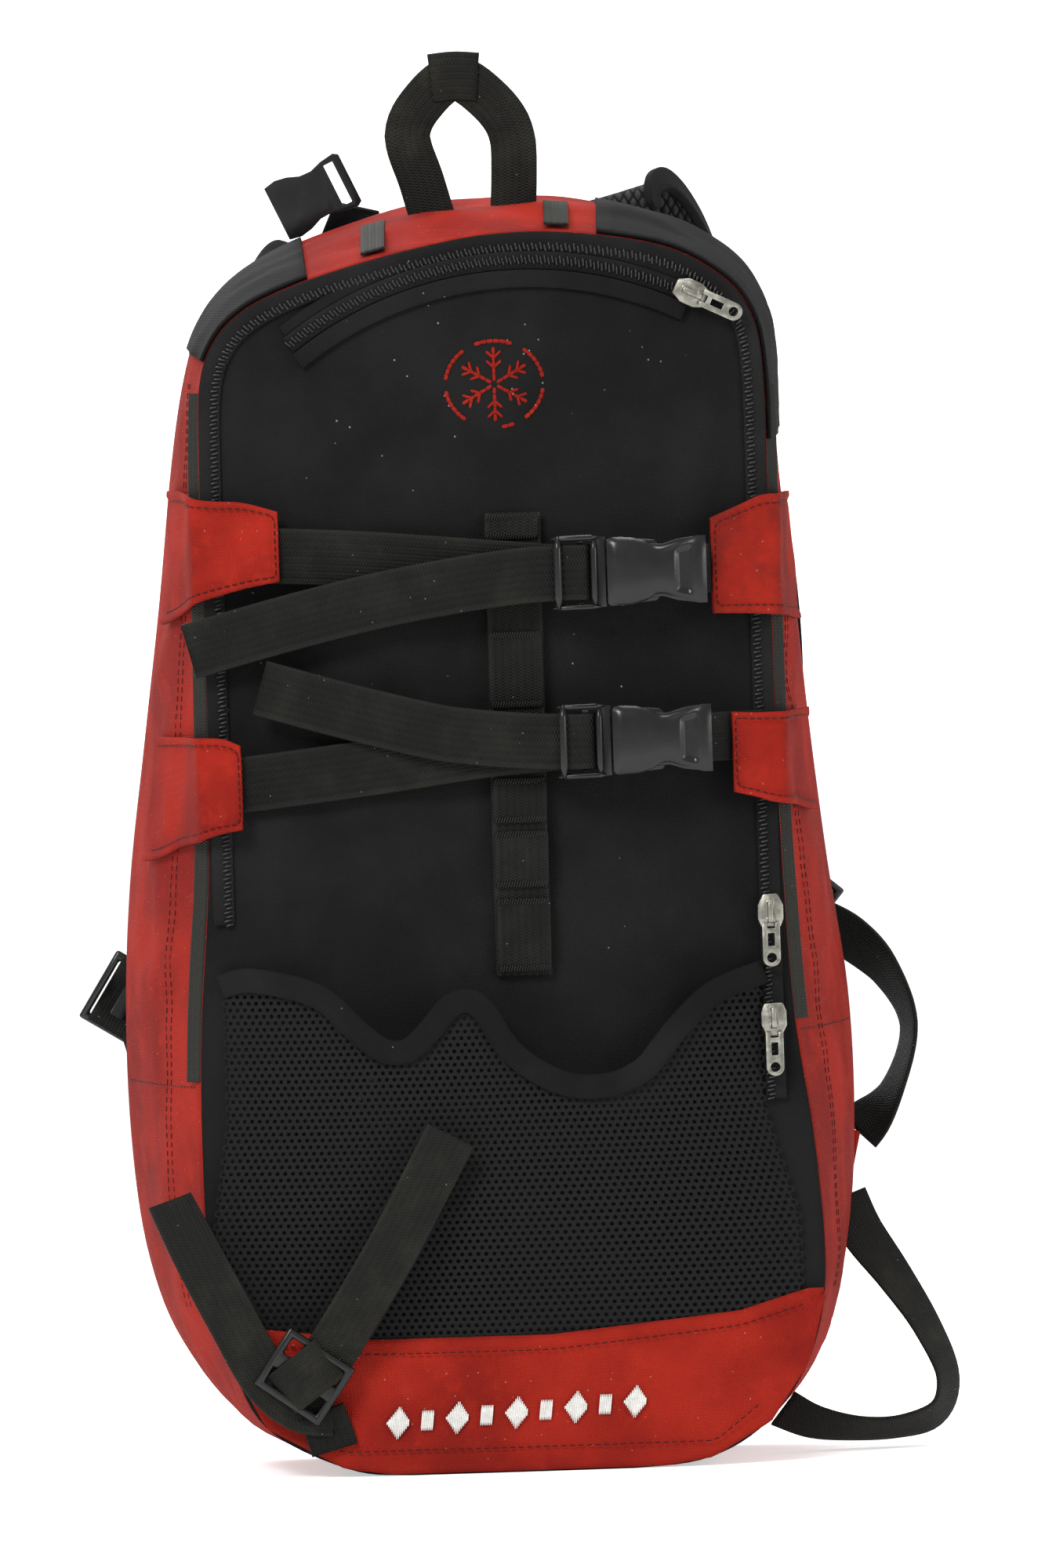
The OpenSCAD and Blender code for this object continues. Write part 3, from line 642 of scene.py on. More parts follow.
def zip_run(name, line, lift, width, pitch, tooth, outward=0.0):
    """Zip: its tape and two rows of coil teeth."""
    verts, faces, uv = front_strip_mesh(line, lift, width, 0.9)
    piece(name + "_tape", verts, faces, ZIP_TAPE, replaces=name, uv=uv)
    path = catmull([(x, front_y(x, z) - lift - 0.8, z) for x, z in line], 6)
    path = even(path, int(length_of(path) / pitch))
    slope = np.gradient(path, axis=0)
    teeth = []
    for i, at in enumerate(path):
        along = unit(slope[i])
        across = unit(np.cross(along, FORWARD))
        side = (0.35 if i % 2 else -0.35) - outward
        teeth.append(pill(at + across * side, across + along * 0.25, FORWARD, tooth,
                          pitch * 0.62, 1.3))
    merged(name + "_coil", teeth, COIL)


def arc(start, end, radius):
    """Points on a circle round the pocket zip's centre, from one angle to another."""
    angles = [math.radians(mix(start, end, k / 14)) for k in range(15)]
    return [(ZIP_CENTRE[0] + radius * math.cos(a), ZIP_CENTRE[1] + radius * math.sin(a))
            for a in angles]


def zips():
    zip_run("main_zip", MAIN_ZIP, 1.6, 7.5, 1.5, 2.9, 1.6)
    zip_run("pocket_zip", arc(ZIP_START, ZIP_END, ZIP_R), 1.4, 6.5, 1.35, 3.0)
    lip = front_strip_mesh(arc(ZIP_START + 0.5, ZIP_END - 1.5, ZIP_R - 6.6), 1.5, 6.4, 2.4)
    hood = front_strip_mesh(arc(ZIP_START - 0.5, ZIP_END - 0.5, ZIP_R + 5.2), 1.2, 4.0, 1.8)
    merged("pocket_zip_lips", [lip, hood], BINDING)


# ---------------- pocket and lower band
def spread(x, z):
    """Sideways place of a point on the lower front, which is wider than the rest."""
    return x * (1 + (0.12 if x > 0 else 0.065) * min(1.0, max(0.0, (128 - z) / 40)))


def pocket_lift(x, z):
    swell = max(0.0, 1 - (abs(x) / 97) ** 4) * min(1.0, max(0.0, (z - 50) / 45))
    return POCKET_DEPTH * swell


def pocket_y(x, z, extra=0.0):
    """Face of the stretch pocket, with the sags of a full, worn mesh."""
    inside = max(0.0, 1 - (abs(x) / 95) ** 4) * smooth_step(50, 80, z)
    folds = 1.3 * lump(x, 0, z, 38, 4.4) + 0.9 * math.sin((x + 0.5 * z) / 10) * max(
        0.0, lump(x, 1, z, 40, 8.2))
    return front_y(spread(x, z), z) - 1.4 - pocket_lift(x, z) - extra - folds * inside


def edge_z(x):
    return float(np.interp(x, POCKET_LINE[:, 0], POCKET_LINE[:, 1]))


def low_z(x):
    return float(np.interp(x, [-92, -45, 15, 75, 97], [54, 48, 48, 54, 61]))


def mesh_pocket():
    """Open knit of six-sided cells, each a frame round a hole."""
    pitch, row_height = 2.7, 0.866
    radius = pitch / math.sqrt(3)
    verts, faces, known = [], [], {}

    def vertex(x, z, lift):
        key = (round(x, 2), round(z, 2), lift)
        if key not in known:
            known[key] = len(verts)
            verts.append((spread(x, z), pocket_y(x, z, lift), z))
        return known[key]

    for row in range(-4, 70):
        for column in range(-40, 42):
            x = column * pitch + (row % 2) * pitch / 2
            z = 46 + row * pitch * row_height
            if not (-97 < x < 95.5 and low_z(x) - 2.5 < z < edge_z(x) + 3):
                continue
            corners = [(x + radius * math.cos(a), z + radius * math.sin(a))
                       for a in turn(6, math.pi / 6)]
            outer = [vertex(cx, cz, 0.0) for cx, cz in corners]
            hole = [vertex(mix(x, cx, 0.5), mix(z, cz, 0.5), -0.25) for cx, cz in corners]
            for k in range(6):
                n = (k + 1) % 6
                faces.append((outer[k], outer[n], hole[n], hole[k]))
    cloth("pocket_mesh", verts, faces, LATTICE, "mesh_pocket")


def pocket_binding():
    """Wavy stretch binding along the pocket's mouth."""
    route = [(x, pocket_y(x, z, 0.4), z + 4.2) for x, z in even(POCKET_LINE, 70)]
    verts, faces, uv = band_mesh(facing(route), 8.8, 3.2, steps=2)
    cloth("pocket_edge_binding", verts, faces, BINDING, "pocket_binding",
          uv=uv)


def bottom_band():
    """Red nylon band over the pack's foot, with a hem at its top and rounded lower corners."""
    across, up = 90, 22
    rings = []
    corner = [(-99, 60), (-92.5, 42), (-81, 18), (-55, 3), (-35, 0), (5, 0), (45, 0), (65, 3),
              (84, 15), (97, 36), (103, 62)]
    for i in range(across + 1):
        x = mix(-98, 102, i / across)
        low = max(0.6, float(np.interp(x, [c[0] for c in corner], [c[1] for c in corner])))
        high = max(low + 1, low_z(x) + 1.0)
        ring = []
        for j in range(up + 1):
            z = mix(low, high, j / up)
            hem = 0.8 * math.exp(-((z - low_z(x) + 2.2) / 1.4) ** 2)
            puff = 0.9 * lump(x, 0, z, 30, 6.3) + 0.35 * lump(x, 0, z, 9, 1.9)
            wide = spread(x, z)
            y = front_y(wide, z) - 2.2 - hem - puff * smooth_step(low, low + 10, z)
            ring.append((wide, y, z))
        rings.append(ring)
    verts, faces = loft(rings, closed=False)
    cloth("lower_band_cloth", verts, faces, RED, "bottom_band",
          1.4, inward=-1.0)


def band_seams():
    """Stitches along the band's curved foot and under its upper hem."""
    seam = [(x, front_y(x, 1) - 3.5, float(np.interp(x, [-84, -60, 74, 92], [23, 9, 9, 23])))
            for x in np.linspace(-82, 90, 60)]
    hem = [(spread(x, 50), front_y(spread(x, 50), low_z(x)) - 3.5, low_z(x) - 4.4)
           for x in np.linspace(-92, 96, 60)]
    merged("band_stitches", stitches(seam, FORWARD) + stitches(hem, FORWARD), RED_THREAD)


def embroidery():
    """A plain row of stitched diamonds and bars on the lower band."""
    parts = []
    for k in range(9):
        x0, z0 = -39.0 + k * 10.6, 19.0 + k * 0.62
        tall = 6.2 if k % 2 == 0 else 3.6
        for s in np.arange(-4.0, 4.01, 0.62):
            reach = tall * (1 - abs(s) / 4.4) if k % 2 == 0 else tall * (abs(s) < 2.2)
            if reach < 0.5:
                continue
            x = x0 + s
            y = front_y(x, z0) - 3.2 - 0.9 * lump(x, 0, z0, 30, 6.3)
            parts.append(pill((x, y, z0), (0.12, 0, 1), FORWARD, reach * 2, 0.72, 0.9))
    merged("band_embroidery", parts, WHITE_THREAD)


def emblem():
    """Worn printed snow crystal in a broken ring."""
    x0, z0, parts = 7.0, 388.0, []

    def bar(a, b, width):
        a, b = np.array(a, float), np.array(b, float)
        mid = (a + b) / 2
        along = b - a
        y = front_face(mid[0], mid[1]) - 0.25
        parts.append(pill((mid[0], y, mid[1]), (along[0], 0, along[1]), FORWARD,
                          float(np.linalg.norm(along)) * 1.05, width, 0.35))
    for k in range(6):
        a = math.radians(30 + 60 * k)
        d, n = np.array([math.cos(a), math.sin(a)]), np.array([-math.sin(a), math.cos(a)])
        for s in range(5):
            bar((x0, z0) + d * (1.2 + 2.4 * s), (x0, z0) + d * (3.6 + 2.4 * s), 1.5)
        for reach in (6.0, 9.4):
            for side in (-1, 1):
                bar((x0, z0) + d * reach, (x0, z0) + d * (reach + 2.4) + n * side * 2.6, 1.2)
    for k in range(48):
        if k % 8 in (0, 7) or 30 < k < 37:
            continue
        a, b = math.radians(7.5 * k), math.radians(7.5 * (k + 1))
        bar((x0 + 17.5 * math.cos(a), z0 + 15.5 * math.sin(a)),
            (x0 + 17.5 * math.cos(b), z0 + 15.5 * math.sin(b)), 1.7)
    merged("front_emblem", parts, PRINT)


# ---------------- straps on the front
def on_front(x, z, lift):
    return (x, front_y(x, z) - lift, z)


def along_front(*places):
    return [on_front(*place) for place in places]


def facing(points, normal=FORWARD):
    return [tuple(p) + tuple(normal) for p in points]


def daisy_chain():
    base = along_front((11, 177, 1.4), (11, 230, 1.4), (11.5, 285, 1.4), (12, 342, 1.4))
    parts, bars = [band_mesh(facing(base), 20, 1.5)], []
    for low, high in ((179, 204), (209, 228), (232, 247), (273, 299), (333, 341)):
        rise = 4.0 if high - low > 10 else 2.8
        loop = along_front((11.3, low, 2.5), (11.3, low + 2, 2.9),
                           (11.4, mix(low, high, 0.5), rise), (11.5, high - 2, 2.9),
                           (11.5, high, 2.5))
        parts.append(band_mesh(facing(loop), 19.2, 1.4))
        for z in (low + 0.6, high - 0.6):
            for k in range(-9, 10):
                at = on_front(11.4 + k * 0.95, z, 3.5)
                bars.append(pill(at, (0.4, 0, 1), FORWARD, 2.6, 0.7, 0.6))
    merged("gear_chain_webbing", parts, WEBBING, replaces="daisy_chain")
    merged("gear_chain_bartacks", bars, BLACK_THREAD)


def compression(tag, at, standing, tail):
    """Webbing from the left wing round the plug's bar, with its free tail."""
    fold = 2.45
    x, y, z = at
    route = facing(standing, (0, 1, 0))
    route += [(x - 15, y + fold, z, 0, 1, 0), (x - 8.6, y + fold, z, 0, 1, 0),
              (x - 6, y, z, 1, 0, 0), (x - 8.6, y - fold, z, 0, -1, 0),
              (x - 16, y - fold, z, 0, -1, 0)]
    strap = webbing(tag + "_webbing", route + facing(tail), 20, 1.6, None,
                    replaces=tag + "_strap")
    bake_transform(strap)


def side_release(tag, at, x_end, z_end):
    """Socket on its sewn webbing, and the plug with its ladder frame and sprung prongs."""
    x, y, z = at
    sewn = along_front((x_end - 8, z_end, 5.2), (x_end, z_end, 4.3))
    webbing(tag + "_socket_webbing",
            [(x + 27.5, y - 1, z, 1, 0, 0), (x + 27.6, y + 1, z, 1, 0.2, 0),
             (x + 30.5, y + 3.2, z, 0.2, 1, 0), (x + 35, y + 3.4, z, 0, 1, 0)]
            + facing(sewn, (0, 1, 0)), 17.4, 1.6, replaces=tag + "_web_right")
    softened(tag + "_socket", 1.1, ACETAL, segments=3)
    socket_crown(tag, at)
    softened(tag + "_plug", 0.6, ACETAL)
    bars = [pill((x - 17.4, y - 4.3, z), UPRIGHT, FORWARD, 26, 3.4, 2.2),
            pill((x - 4.5, y - 3.2, z), UPRIGHT, FORWARD, 25, 3.0, 2.4)]
    for rail in (-12.4, 12.4):
        bars.append(pill((x - 11, y - 2.6, z + rail), (1, 0, 0.02), FORWARD, 17, 2.6, 4.4))
    merged(tag + "_plug_frame", bars, ACETAL, tag + "_plug")
    prong = softened(tag + "_prongs", 0.6, ACETAL, body=tag + "_plug")
    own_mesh(prong)


def compression_straps():
    upper = (PLUG_X, front_y(27, UPPER_Z) - BUCKLE_H, UPPER_Z - 1)
    side_release("upper", upper, 96, 320.5)
    compression("upper", upper,
                along_front((-86, 330, 3.6), (-70, 329, 3.8), (-40, 327, 6.6), (0, 323, 8.2)),
                along_front((14, 319.5, 13.6), (-8, 317, 13), (-36, 312.5, 11.4),
                            (-66, 306, 10.6), (-90, 300, 10), (-105, 296, 8.5)))
    lower = (PLUG_X, front_y(27, LOWER_Z) - BUCKLE_H, LOWER_Z)
    side_release("lower", lower, 99, 260)
    compression("lower", lower,
                along_front((-97, 247, 4.8), (-86, 248, 4.6), (-40, 253, 6.6), (0, 258, 8.2)),
                along_front((12, 261, 13.6), (-6, 263, 13), (-20, 265.5, 12),
                            (-50, 273.5, 10), (-80, 282.5, 9)))


def socket_crown(tag, at):
    """Domed face of a buckle socket, narrow where the prongs are pressed."""
    rings = []
    for u in np.linspace(0.6, 35.5, 36):
        half = float(np.interp(u, [0, 2, 9, 14, 17, 20, 27, 32, 36],
                               [11.6, 12.3, 12, 10.6, 8.6, 8.4, 10.2, 12, 12]))
        tall = 2.6 * min(1.0, u / 3, (36 - u) / 3) ** 0.5 * (1 - 0.35 * smooth_step(10, 30, u))
        slot = 25.5 < u < 30
        ring = []
        for v in np.linspace(-1, 1, 21):
            dome = 0.1 if slot and abs(v) < 0.8 else tall * (1 - abs(v) ** 2.6) ** 0.5
            ring.append((at[0] + u, at[1] - 3.95 - dome, at[2] + v * half))
        rings.append(ring)
    verts, faces = loft(rings, closed=False)
    piece(tag + "_socket_crown", verts, faces, ACETAL)


def side_x(side, y, z):
    """How far out the left or right wall is, at a depth and a height."""
    first, last = RIGHT_RUN if side > 0 else LEFT_RUN
    fx, bx = (float(np.interp(z, *run[np.argsort(run[:, 1])].T[::-1]))
              for run in (FRONT_FINE[first * STEPS:last * STEPS + 1],
                          BACK_FINE[first * STEPS:last * STEPS + 1]))
    edge = mix(BASE_Y, TOP_Y, z / BODY_H) + 3
    middle = mix(edge, BACK_Y, BEND_T)
    m = mix(fx, bx, BEND_SHARE)
    if y < middle:
        return mix(fx, m, (y - edge) / (middle - edge))
    return mix(m, bx, (y - middle) / (BACK_Y - middle))


def wing(tag, side, flank, front, material, seed):
    """Wing of doubled nylon from the flank round the corner to the front, hemmed and stitched."""
    proud = side * 3.6
    lows = [(side_x(side, y, low) + proud, y, low) for y, low, high in flank]
    highs = [(side_x(side, y, high) + proud, y, high) for y, low, high in flank]
    zl, zh = mix(flank[-1][1], front[0][2], 0.5), mix(flank[-1][2], front[0][3], 0.5)
    edge = mix(BASE_Y, TOP_Y, zl / BODY_H)
    corner = side_x(side, edge + 4, zl) + proud
    lows.append((corner, edge - 3.4, zl))
    highs.append((corner, edge - 3.4, zh))
    lows += [on_front(x, low, lift + 1.2) for x, lift, low, high in front]
    highs += [on_front(x, high, lift + 1.2) for x, lift, low, high in front]
    lows, highs = catmull(lows, 8), catmull(highs, 8)
    width = length_of(lows)
    across, rings = 26, []
    for i, (low, high) in enumerate(zip(lows, highs)):
        s = i / (len(lows) - 1)
        tall = float(np.linalg.norm(high - low))
        out = unit(np.array([side * (1 - smooth_step(0.35, 0.75, s)),
                             -smooth_step(0.25, 0.6, s), 0]))
        ring = []
        for t in (j / across for j in range(across + 1)):
            p = mix(low, high, t)
            border = min(t * tall, (1 - t) * tall, (1 - s) * width)
            hem = 0.7 * (1 - smooth_step(2.6, 3.6, border))
            groove = 0.35 * math.exp(-((border - 3.9) / 0.5) ** 2)
            ripple = 0.72 * lump(p[0], p[1], p[2], 18, seed) * math.sin(math.pi * t)
            ring.append(p + out * (hem - groove + ripple))
        rings.append(ring)
    if side > 0:
        rings = [ring[::-1] for ring in rings]
    verts, faces = loft(rings, closed=False)
    cloth("wing_cloth_" + tag, verts, faces, material, "wing_" + tag, 1.7,
          inward=-1.0)
    grid, inset, last = np.array(rings), 2, len(rings) - 2
    path = list(grid[3:last, inset]) + list(grid[last, inset:-inset]) \
        + list(grid[3:last, -1 - inset][::-1])
    return stitches(path, [side * 0.4, -1, 0], 2.8, 2.0, 0.5)


def wings():
    seams = wing("upper_left", -1, [(6, 305, 353), (-14, 307, 353), (-30, 310, 352)],
                 [(-96, 5.4, 315, 349.5), (-84, 5.4, 318, 348.5), (-72, 5.4, 320, 345)],
                 RED, 1.1)
    seams += wing("lower_left", -1, [(6, 220, 265), (-14, 222, 265), (-32, 226, 265)],
                  [(-100, 7, 229.5, 265), (-94, 7.6, 231, 264.5), (-88, 8, 232, 262)],
                  RED, 2.6)
    seams += wing("upper_right", 1, [(6, 300, 346), (-14, 301, 346), (-30, 302, 346)],
                  [(101, 6.6, 303, 345.5), (94, 7.4, 303.5, 342.5), (83, 11.6, 304, 338)],
                  RED_STAINED, 3.9)
    seams += wing("lower_right", 1, [(6, 231, 268), (-14, 232, 268), (-32, 234, 268)],
                  [(102, 6.6, 236, 268), (96, 7.4, 238, 268), (88.5, 9.6, 240, 268.5)],
                  RED, 5.2)
    merged("wing_stitches", seams, RED_THREAD)


# ---------------- tapes and seams of the body
def side_tapes(left, right):
    for tag, rings, side, low, high in (("left", left, -1, 142, 388),
                                        ("right", right, 1, 158, 385)):
        line = [place_on_side(rings, z, 0.045) + np.array([side * 0.6, -1.0, 0])
                for z in np.linspace(low, high, 12)]
        webbing("side_seam_tape_" + tag, facing(line, (side, -0.8, 0)), 8, 1.0,
                material=GROSGRAIN, replaces="side_tape_" + tag)


def side_seams(left, right):
    """Two upright rows of stitches on each side, and one row across it."""
    seams = []
    for rings, side, high in ((left, -1, 392), (right, 1, 385)):
        for t in (0.25, 0.3):
            line = [place_on_side(rings, z, t) for z in np.linspace(60, high, 80)]
            seams += stitches(line, (side, -0.3, 0), 3.2)
    for rings, side, level in ((left, -1, 140), (right, 1, 154)):
        line = [place_on_side(rings, level, t) for t in np.linspace(0.05, 0.95, 19)]
        seams += stitches(line, (side, -0.3, 0), 3.2)
    merged("side_seam_stitches", seams, RED_THREAD)


def top_tabs():
    """Two short tapes across the top panel, from its front seam back."""
    run = slice(TOP_RUN[0] * STEPS, TOP_RUN[1] * STEPS + 1)
    front, back = FRONT_FINE[run][::-1], BACK_FINE[run][::-1]
    bend_y, parts = 2, []
    for x, lean in ((-35, -0.25), (31, 0.08)):
        f = float(np.interp(x, front[:, 0], front[:, 1]))
        b = float(np.interp(x, back[:, 0], back[:, 1]))
        line = []
        for y in (-35, -26, -14, -2, 10):
            before = BEND_SHARE * (y + 40) / (bend_y + 40)
            after = mix(BEND_SHARE, 1, (y - bend_y) / (BACK_Y - bend_y))
            line.append((x, y, mix(f, b, before if y < bend_y else after) + 1.9))
        parts.append(band_mesh(facing(line, (lean, -0.15, 1)), 9, 1.0))
    merged("top_tab_tapes", parts, GROSGRAIN, replaces="top_tapes")


# ---------------- harness
PAD_HALF, PAD_TAPER, PAD_THICK, PAD_STEPS, PAD_CAP, PAD_PRESSURE = 29, 0.72, 3.6, 80, 1.6, 4.0


def puffed(obj):
    """Cloth pressure fills the pad; a point moves by PAD_CAP at most."""
    rest = np.empty(len(obj.data.vertices) * 3)
    obj.data.vertices.foreach_get("co", rest)
    inflate = obj.modifiers.new("cloth", "CLOTH")
    inflate.settings.use_pressure = True
    inflate.settings.uniform_pressure_force = PAD_PRESSURE
    inflate.settings.effector_weights.gravity = 0
    inflate.settings.quality = 4
    for number in range(1, 21):
        bpy.context.scene.frame_set(number)
    apply_modifiers(obj)
    bpy.context.scene.frame_set(1)
    moved = np.empty(len(obj.data.vertices) * 3)
    obj.data.vertices.foreach_get("co", moved)
    step = (moved - rest).reshape(-1, 3)
    far = np.linalg.norm(step, axis=1, keepdims=True)
    step *= np.minimum(1.0, PAD_CAP * MM / np.maximum(far, 1e-9))
    obj.data.vertices.foreach_set("co", (rest.reshape(-1, 3) + step).ravel())
    obj.modifiers.new("soft", "SUBSURF").levels = 1
    apply_modifiers(obj)
    obj.data.shade_smooth()


def pad_route(side, peak, z_end):
    return [(side * 38, 65, peak - 6, 0, 0.1, 1), (side * 41, 75, peak, 0, 0.4, 1),
            (side * 50, 89, peak - 6, 0, 1, 0.8), (side * 60, 98, peak - 26, 0, 1, 0.35),
            (side * 70, 102, 385, 0, 1, 0.1), (side * 80, 99, 340, 0, 1, -0.05),
            (side * 88, 92, 290, 0, 1, -0.15), (side * 93, 82, z_end + 20, 0, 1, -0.2),
            (side * 96, 78, z_end, 0, 1, -0.2)]


def shoulder_strap(side, peak, z_end, tag):
    """Foam-filled pad with taped edges and a line of webbing down its face."""
    body = "shoulder_" + tag
    p = even(catmull(pad_route(side, peak, z_end), 6), PAD_STEPS)
    ways = directions(p)
    rings, edges = [], ([], [])
    for i, (at, (across, up)) in enumerate(zip(p[:, :3], ways)):
        s = i / (PAD_STEPS - 1)
        half = PAD_HALF * mix(1.0, PAD_TAPER, smooth_step(0.55, 1.0, s))
        thick = PAD_THICK * min(1.0, 0.35 + 4 * min(s, 1 - s))
        rings.append([at + across * half * math.cos(a)
                      + up * thick * math.copysign(abs(math.sin(a)) ** 0.55, math.sin(a))
                      for a in turn(28)])
        for line, sign in zip(edges, (-1, 1)):
            line.append(tuple(at + across * half * sign) + tuple(across * sign))
    verts, faces = loft(rings)
    obj = piece("shoulder_pad_cover_" + tag, verts, faces, SPACER, body=None,
                replaces="shoulder_pad_" + tag)
    puffed(obj)
    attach(obj, body)
    trim = [band_mesh(line[1:-1:2], 8.5, 3.2, steps=3) for line in edges]
    merged("shoulder_edge_tape_" + tag, trim, BINDING, body)
    centre = [tuple(p[i, :3] + ways[i][1] * 5.6) + tuple(p[i, 3:6])
              for i in range(8, PAD_STEPS - 8, 4)]
    webbing("shoulder_webbing_" + tag, centre, 20, 1.4, body)


def lower_webbing(tag, node, route):
    """Webbing from a pad's ladder lock to the fin low on the pack."""
    strap = webbing("lower_webbing_" + tag, route, 18, 1.6, None, replaces=node)
    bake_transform(strap)


def ladder_webbing(tag, at, turned):
    """Webbing threaded through a ladder lock."""
    c, q = math.cos(math.radians(turned)), math.sin(math.radians(turned))
    route = [(at[0] + c * u, at[1] + v, at[2] + q * u, 0, 1, 0)
             for u, v in ((-13, -3.2), (-9, -2.6), (-5, 1.5), (0, 3.6), (5, 1.5), (9, -2.6),
                          (13, -3.2))]
    webbing("ladder_webbing_" + tag, route, 17.4, 1.5, "shoulder_" + tag, WEBBING_WORN)


def harness():
    for side, tag, peak, z_end in ((-1, "left", 430, 205), (1, "right", 452, 215)):
        shoulder_strap(side, peak, z_end, tag)
        softened("strap_root_" + tag, 0.9, BINDING)
        softened("ladder_" + tag, 0.9, ACETAL)
        softened("anchor_fin_" + tag, 0.8, RED)
    lower_webbing("left", "lower_web_left",
                  [(-128, 67, 158, 0.3, 1, 0), (-124, 60, 140, 0.4, 1, 0),
                   (-124, 56.5, 118, 0.1, 1, 0)])
    lower_webbing("right", "lower_web_right_side",
                  [(119, 72, 188, 0.3, 1, 0.2), (130, 71, 182, 0.5, 1, 0.3),
                   (142, 66, 170, 0.9, 0.6, 0.2), (150, 63, 150, 1, 0.3, 0),
                   (143, 61, 127, 1, 0.5, -0.3), (130, 59.2, 112, 0.1, 1, 0)])
    ladder_webbing("left", (-134, 72, 168), 58)
    ladder_webbing("right", (110, 75, 199), -40)


def sternum_strap():
    softened("sternum_socket", 1.0, ACETAL, segments=3)
    softened("sternum_plug", 0.6, ACETAL)
    routes = {"left": [(-41, 84, 453, 0, 1, 0.6), (-46, 96, 442, 0, 1, 0.6),
                       (-58, 106, 414, 0, 1, 0.3)],
              "right": [(56, 110, 380, 0, 1, 0), (60, 110.6, 388, 0, 1, 0),
                        (66, 110.5, 400, 0, 1, 0.1)]}
    for tag, route in routes.items():
        webbing("sternum_webbing_" + tag, route, 17, 1.6, "shoulder_" + tag,
                replaces="sternum_web_" + tag)


def haul_loop():
    arch = [(-13, 16, 447), (-17, 15.5, 462), (-21.5, 15, 478), (-16, 15, 489.5),
            (-4, 15, 498.5), (9, 15, 489.5), (16, 15, 478), (16.5, 15.5, 462), (15.5, 16, 447)]
    wrap = [(-12.5, 13.6, 498.5), (-4, 13.4, 499.2), (4.5, 13.6, 498.5)]
    parts = [band_mesh(facing(arch), 16.5, 2.0, steps=4), band_mesh(facing(wrap), 17.5, 1.0)]
    merged("haul_webbing", parts, WEBBING_WORN, "haul_loop", "haul_loop")


# ---------------- ski carry
def ski_loop():
    route = [(124, 31, 90, 0.2, -1, 0.1), (130, 28, 77, 0.4, -1, 0.2),
             (141, 25, 61, 0.6, -0.8, 0.4), (152, 21, 43, 0.85, -0.65, 0.3),
             (159, 17, 25, 1, -0.6, -0.1), (155, 12, 12, 0.7, -0.6, -0.7),
             (141, 7, 7.5, 0.1, -0.6, -1), (125, 2, 7.5, -0.2, -0.7, -1),
             (110, -2, 10.5, -0.4, -0.9, -0.7), (99, -5, 16, -0.4, -1, -0.4)]
    webbing("ski_loop_webbing", route, 17, 1.6, "ski_loop_right", WEBBING_WORN,
            replaces="ski_loop_right")


def ski_strap():
    """Adjustable strap on its ladder lock: two free tails and the bulge over the bar."""
    anchor = along_front((-62, 10, 4.4), (-64, 17, 5), (-66.5, 24, 8))
    webbing("ski_anchor_webbing", facing(anchor), 17, 1.6, replaces="ski_anchor_left")
    softened("ski_ladder_left", 1.0, ACETAL, segments=3)
    y = front_y(-72, 36) - 12
    left_tail = [(-62, y + 5, 24, 0, -1, 0), (-74, y + 3.6, 26, 0, -1, 0),
                 (-86, y + 0.5, 37, 0, -1, 0), (-97, y - 2, 58, 0.1, -1, 0),
                 (-108, y - 1, 80, 0.25, -1, 0), (-118, y + 4, 101, 0.6, -1, 0)]
    right_tail = [(-66, y + 3.6, 40, 0, -1, 0), (-56, y - 3.4, 55, 0, -1, 0),
                  (-38, y - 12, 84, 0, -1, 0), (-17, y - 14, 122, 0, -1, 0)]
    bulge = [(-80.5, y + 1.5, 30.5, -0.6, -1, -0.5), (-77, y - 3.4, 33, -0.3, -1, -0.2),
             (-71, y - 4.6, 37.5, 0, -1, 0), (-65.5, y - 3.4, 41.5, 0.3, -1, 0.2),
             (-62, y + 1.5, 44, 0.6, -1, 0.5)]
    parts = [band_mesh(left_tail, 18, 1.7), band_mesh(right_tail, 18.5, 1.6),
             band_mesh(bulge, 17, 1.6)]
    merged("ski_strap_webbing", parts, WEBBING_WORN, "ski_lock_left",
           "ski_strap_left")


# ---------------- build everything
def walls():
    """Cloth of the sides, top and base; returns the rows of the left and right sides."""
    left = gusset("side_cloth_left", LEFT_RUN, RED, "side_left")
    right = gusset("side_cloth_right", RIGHT_RUN, RED,
                   "side_right")
    gusset("top_cloth", TOP_RUN, RED, "top_panel")
    gusset("base_cloth", BASE_RUN, SOFTSHELL, "base_panel")
    for tag, run, flat in (("left", (19.7, 22.5), (0.1, 0.06)),
                           ("right", (11.4, 15.6), (0.1, 0.12))):
        gusset("yoke_cloth_" + tag, run, HARNESS, lift=1.6, thick=1.2)
    return left, right


def inner_parts():
    for node, material in (("back_foam", FOAM), ("frame_sheet", SHEET),
                           ("inner_sleeve", SOFTSHELL)):
        frame["nodes"][node].data.materials.clear()
        frame["nodes"][node].data.materials.append(material)


def sliders():
    for place in ("pocket_{}", "zip_{}_upper", "zip_{}_lower"):
        softened(place.format("slider"), 0.5, NICKEL)
        softened(place.format("puller"), 0.3, NICKEL)


def build():
    front_panel()
    left, right = walls()
    back_panel()
    back_piping()
    inner_parts()
    zips()
    mesh_pocket()
    pocket_binding()
    bottom_band()
    band_seams()
    embroidery()
    emblem()
    daisy_chain()
    side_tapes(left, right)
    side_seams(left, right)
    top_tabs()
    wings()
    compression_straps()
    sliders()
    haul_loop()
    harness()
    sternum_strap()
    ski_loop()
    ski_strap()


# ---------------- studio
FRAME_H, MM_PER_PIXEL = 2000, 0.28
DISTANCE = 7.0
ELEVATION, ROLL = 1.5, 1.85
TARGET = (0.0125, -0.055, 0.245)


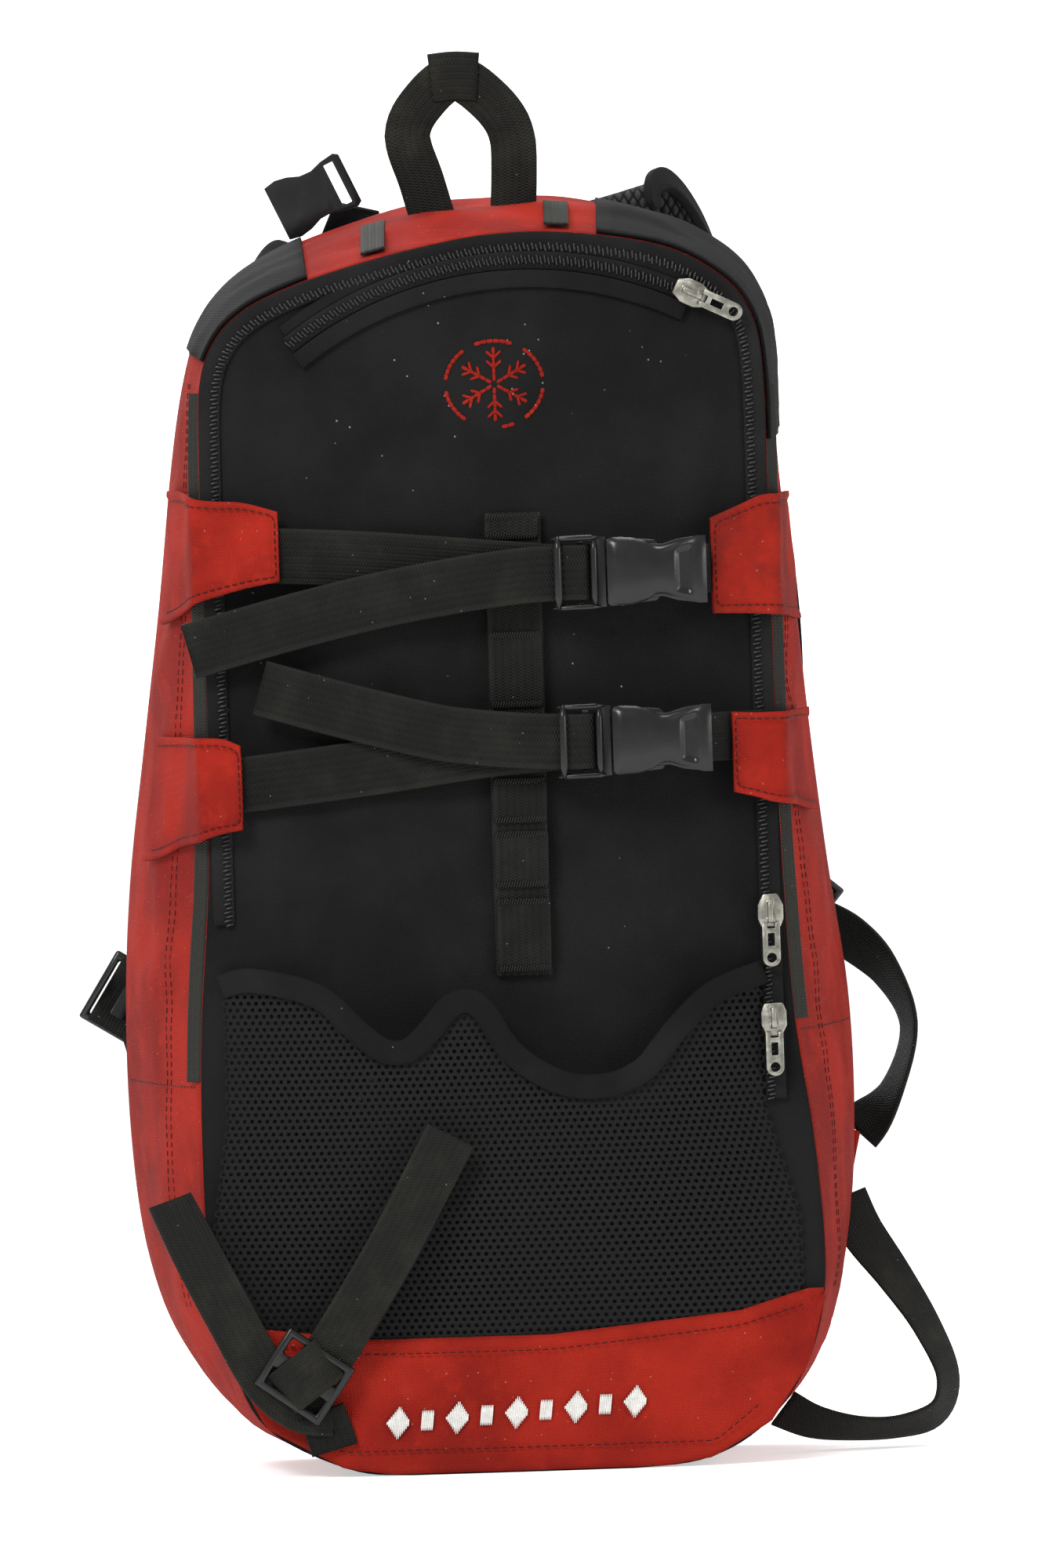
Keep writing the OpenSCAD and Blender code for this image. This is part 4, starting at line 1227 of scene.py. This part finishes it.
def glowing(name, ring, material, roughness, tone, glow):
    """A pale surface of the studio with a light of its own, as one face."""
    mesh = bpy.data.meshes.new(name)
    mesh.from_pydata(ring, [], [tuple(range(len(ring)))])
    obj = bpy.data.objects.new("studio_" + name, mesh)
    bpy.context.collection.objects.link(obj)
    s = Shader(material, roughness, specular=0.0)
    s.colour((tone, tone, tone, 1))
    s.shader.inputs["Emission Color"].default_value = (1, 1, 1, 1)
    s.shader.inputs["Emission Strength"].default_value = glow
    mesh.materials.append(s.material)


def lamps():
    for name, place, size, power in (("key", (-1.1, -2.0, 1.9), 0.9, 62),
                                     ("fill", (1.8, -1.4, 0.7), 0.8, 14),
                                     ("top", (0.1, 0.2, 2.2), 1.0, 30),
                                     ("rear", (-0.7, 1.6, 1.4), 1.0, 20)):
        data = bpy.data.lights.new(name, "AREA")
        data.size, data.energy = size, power
        lamp = bpy.data.objects.new(name, data)
        lamp.location = place
        aim = Vector((0, 0, 0.25)) - Vector(place)
        lamp.rotation_euler = aim.to_track_quat("-Z", "Y").to_euler()
        bpy.context.collection.objects.link(lamp)


def camera():
    data = bpy.data.cameras.new("camera")
    data.sensor_fit = "VERTICAL"
    data.sensor_height = 24
    data.lens = 24 * DISTANCE / (FRAME_H * MM_PER_PIXEL * MM)
    view = bpy.data.objects.new("camera", data)
    angle = math.radians(ELEVATION)
    place = Vector(TARGET) + Vector((0, -math.cos(angle), math.sin(angle))) * DISTANCE
    view.location = place
    aim = (Vector(TARGET) - place).to_track_quat("-Z", "Y")
    roll = Matrix.Rotation(math.radians(-ROLL), 3, "Z")
    view.rotation_euler = (aim.to_matrix() @ roll).to_euler()
    bpy.context.collection.objects.link(view)
    bpy.context.scene.camera = view


def studio():
    bpy.context.scene.view_settings.view_transform = "Standard"
    world = bpy.data.worlds.new("studio")
    world.use_nodes = True
    world.node_tree.nodes["Background"].inputs["Color"].default_value = (1, 1, 1, 1)
    world.node_tree.nodes["Background"].inputs["Strength"].default_value = 0.6
    bpy.context.scene.world = world
    disc_edge = [(30 * math.cos(a), 30 * math.sin(a), 0) for a in turn(64)]
    glowing("floor", disc_edge, "pale_floor", 0.9, 0.78, 0.5)
    wall = [(-9, 9.5, -0.5), (9, 9.5, -0.5), (9, 9.5, 5), (-9, 9.5, 5)]
    glowing("backdrop", wall, "white_backdrop", 1.0, 0.8, 0.8)
    lamps()
    camera()


studio()
build()
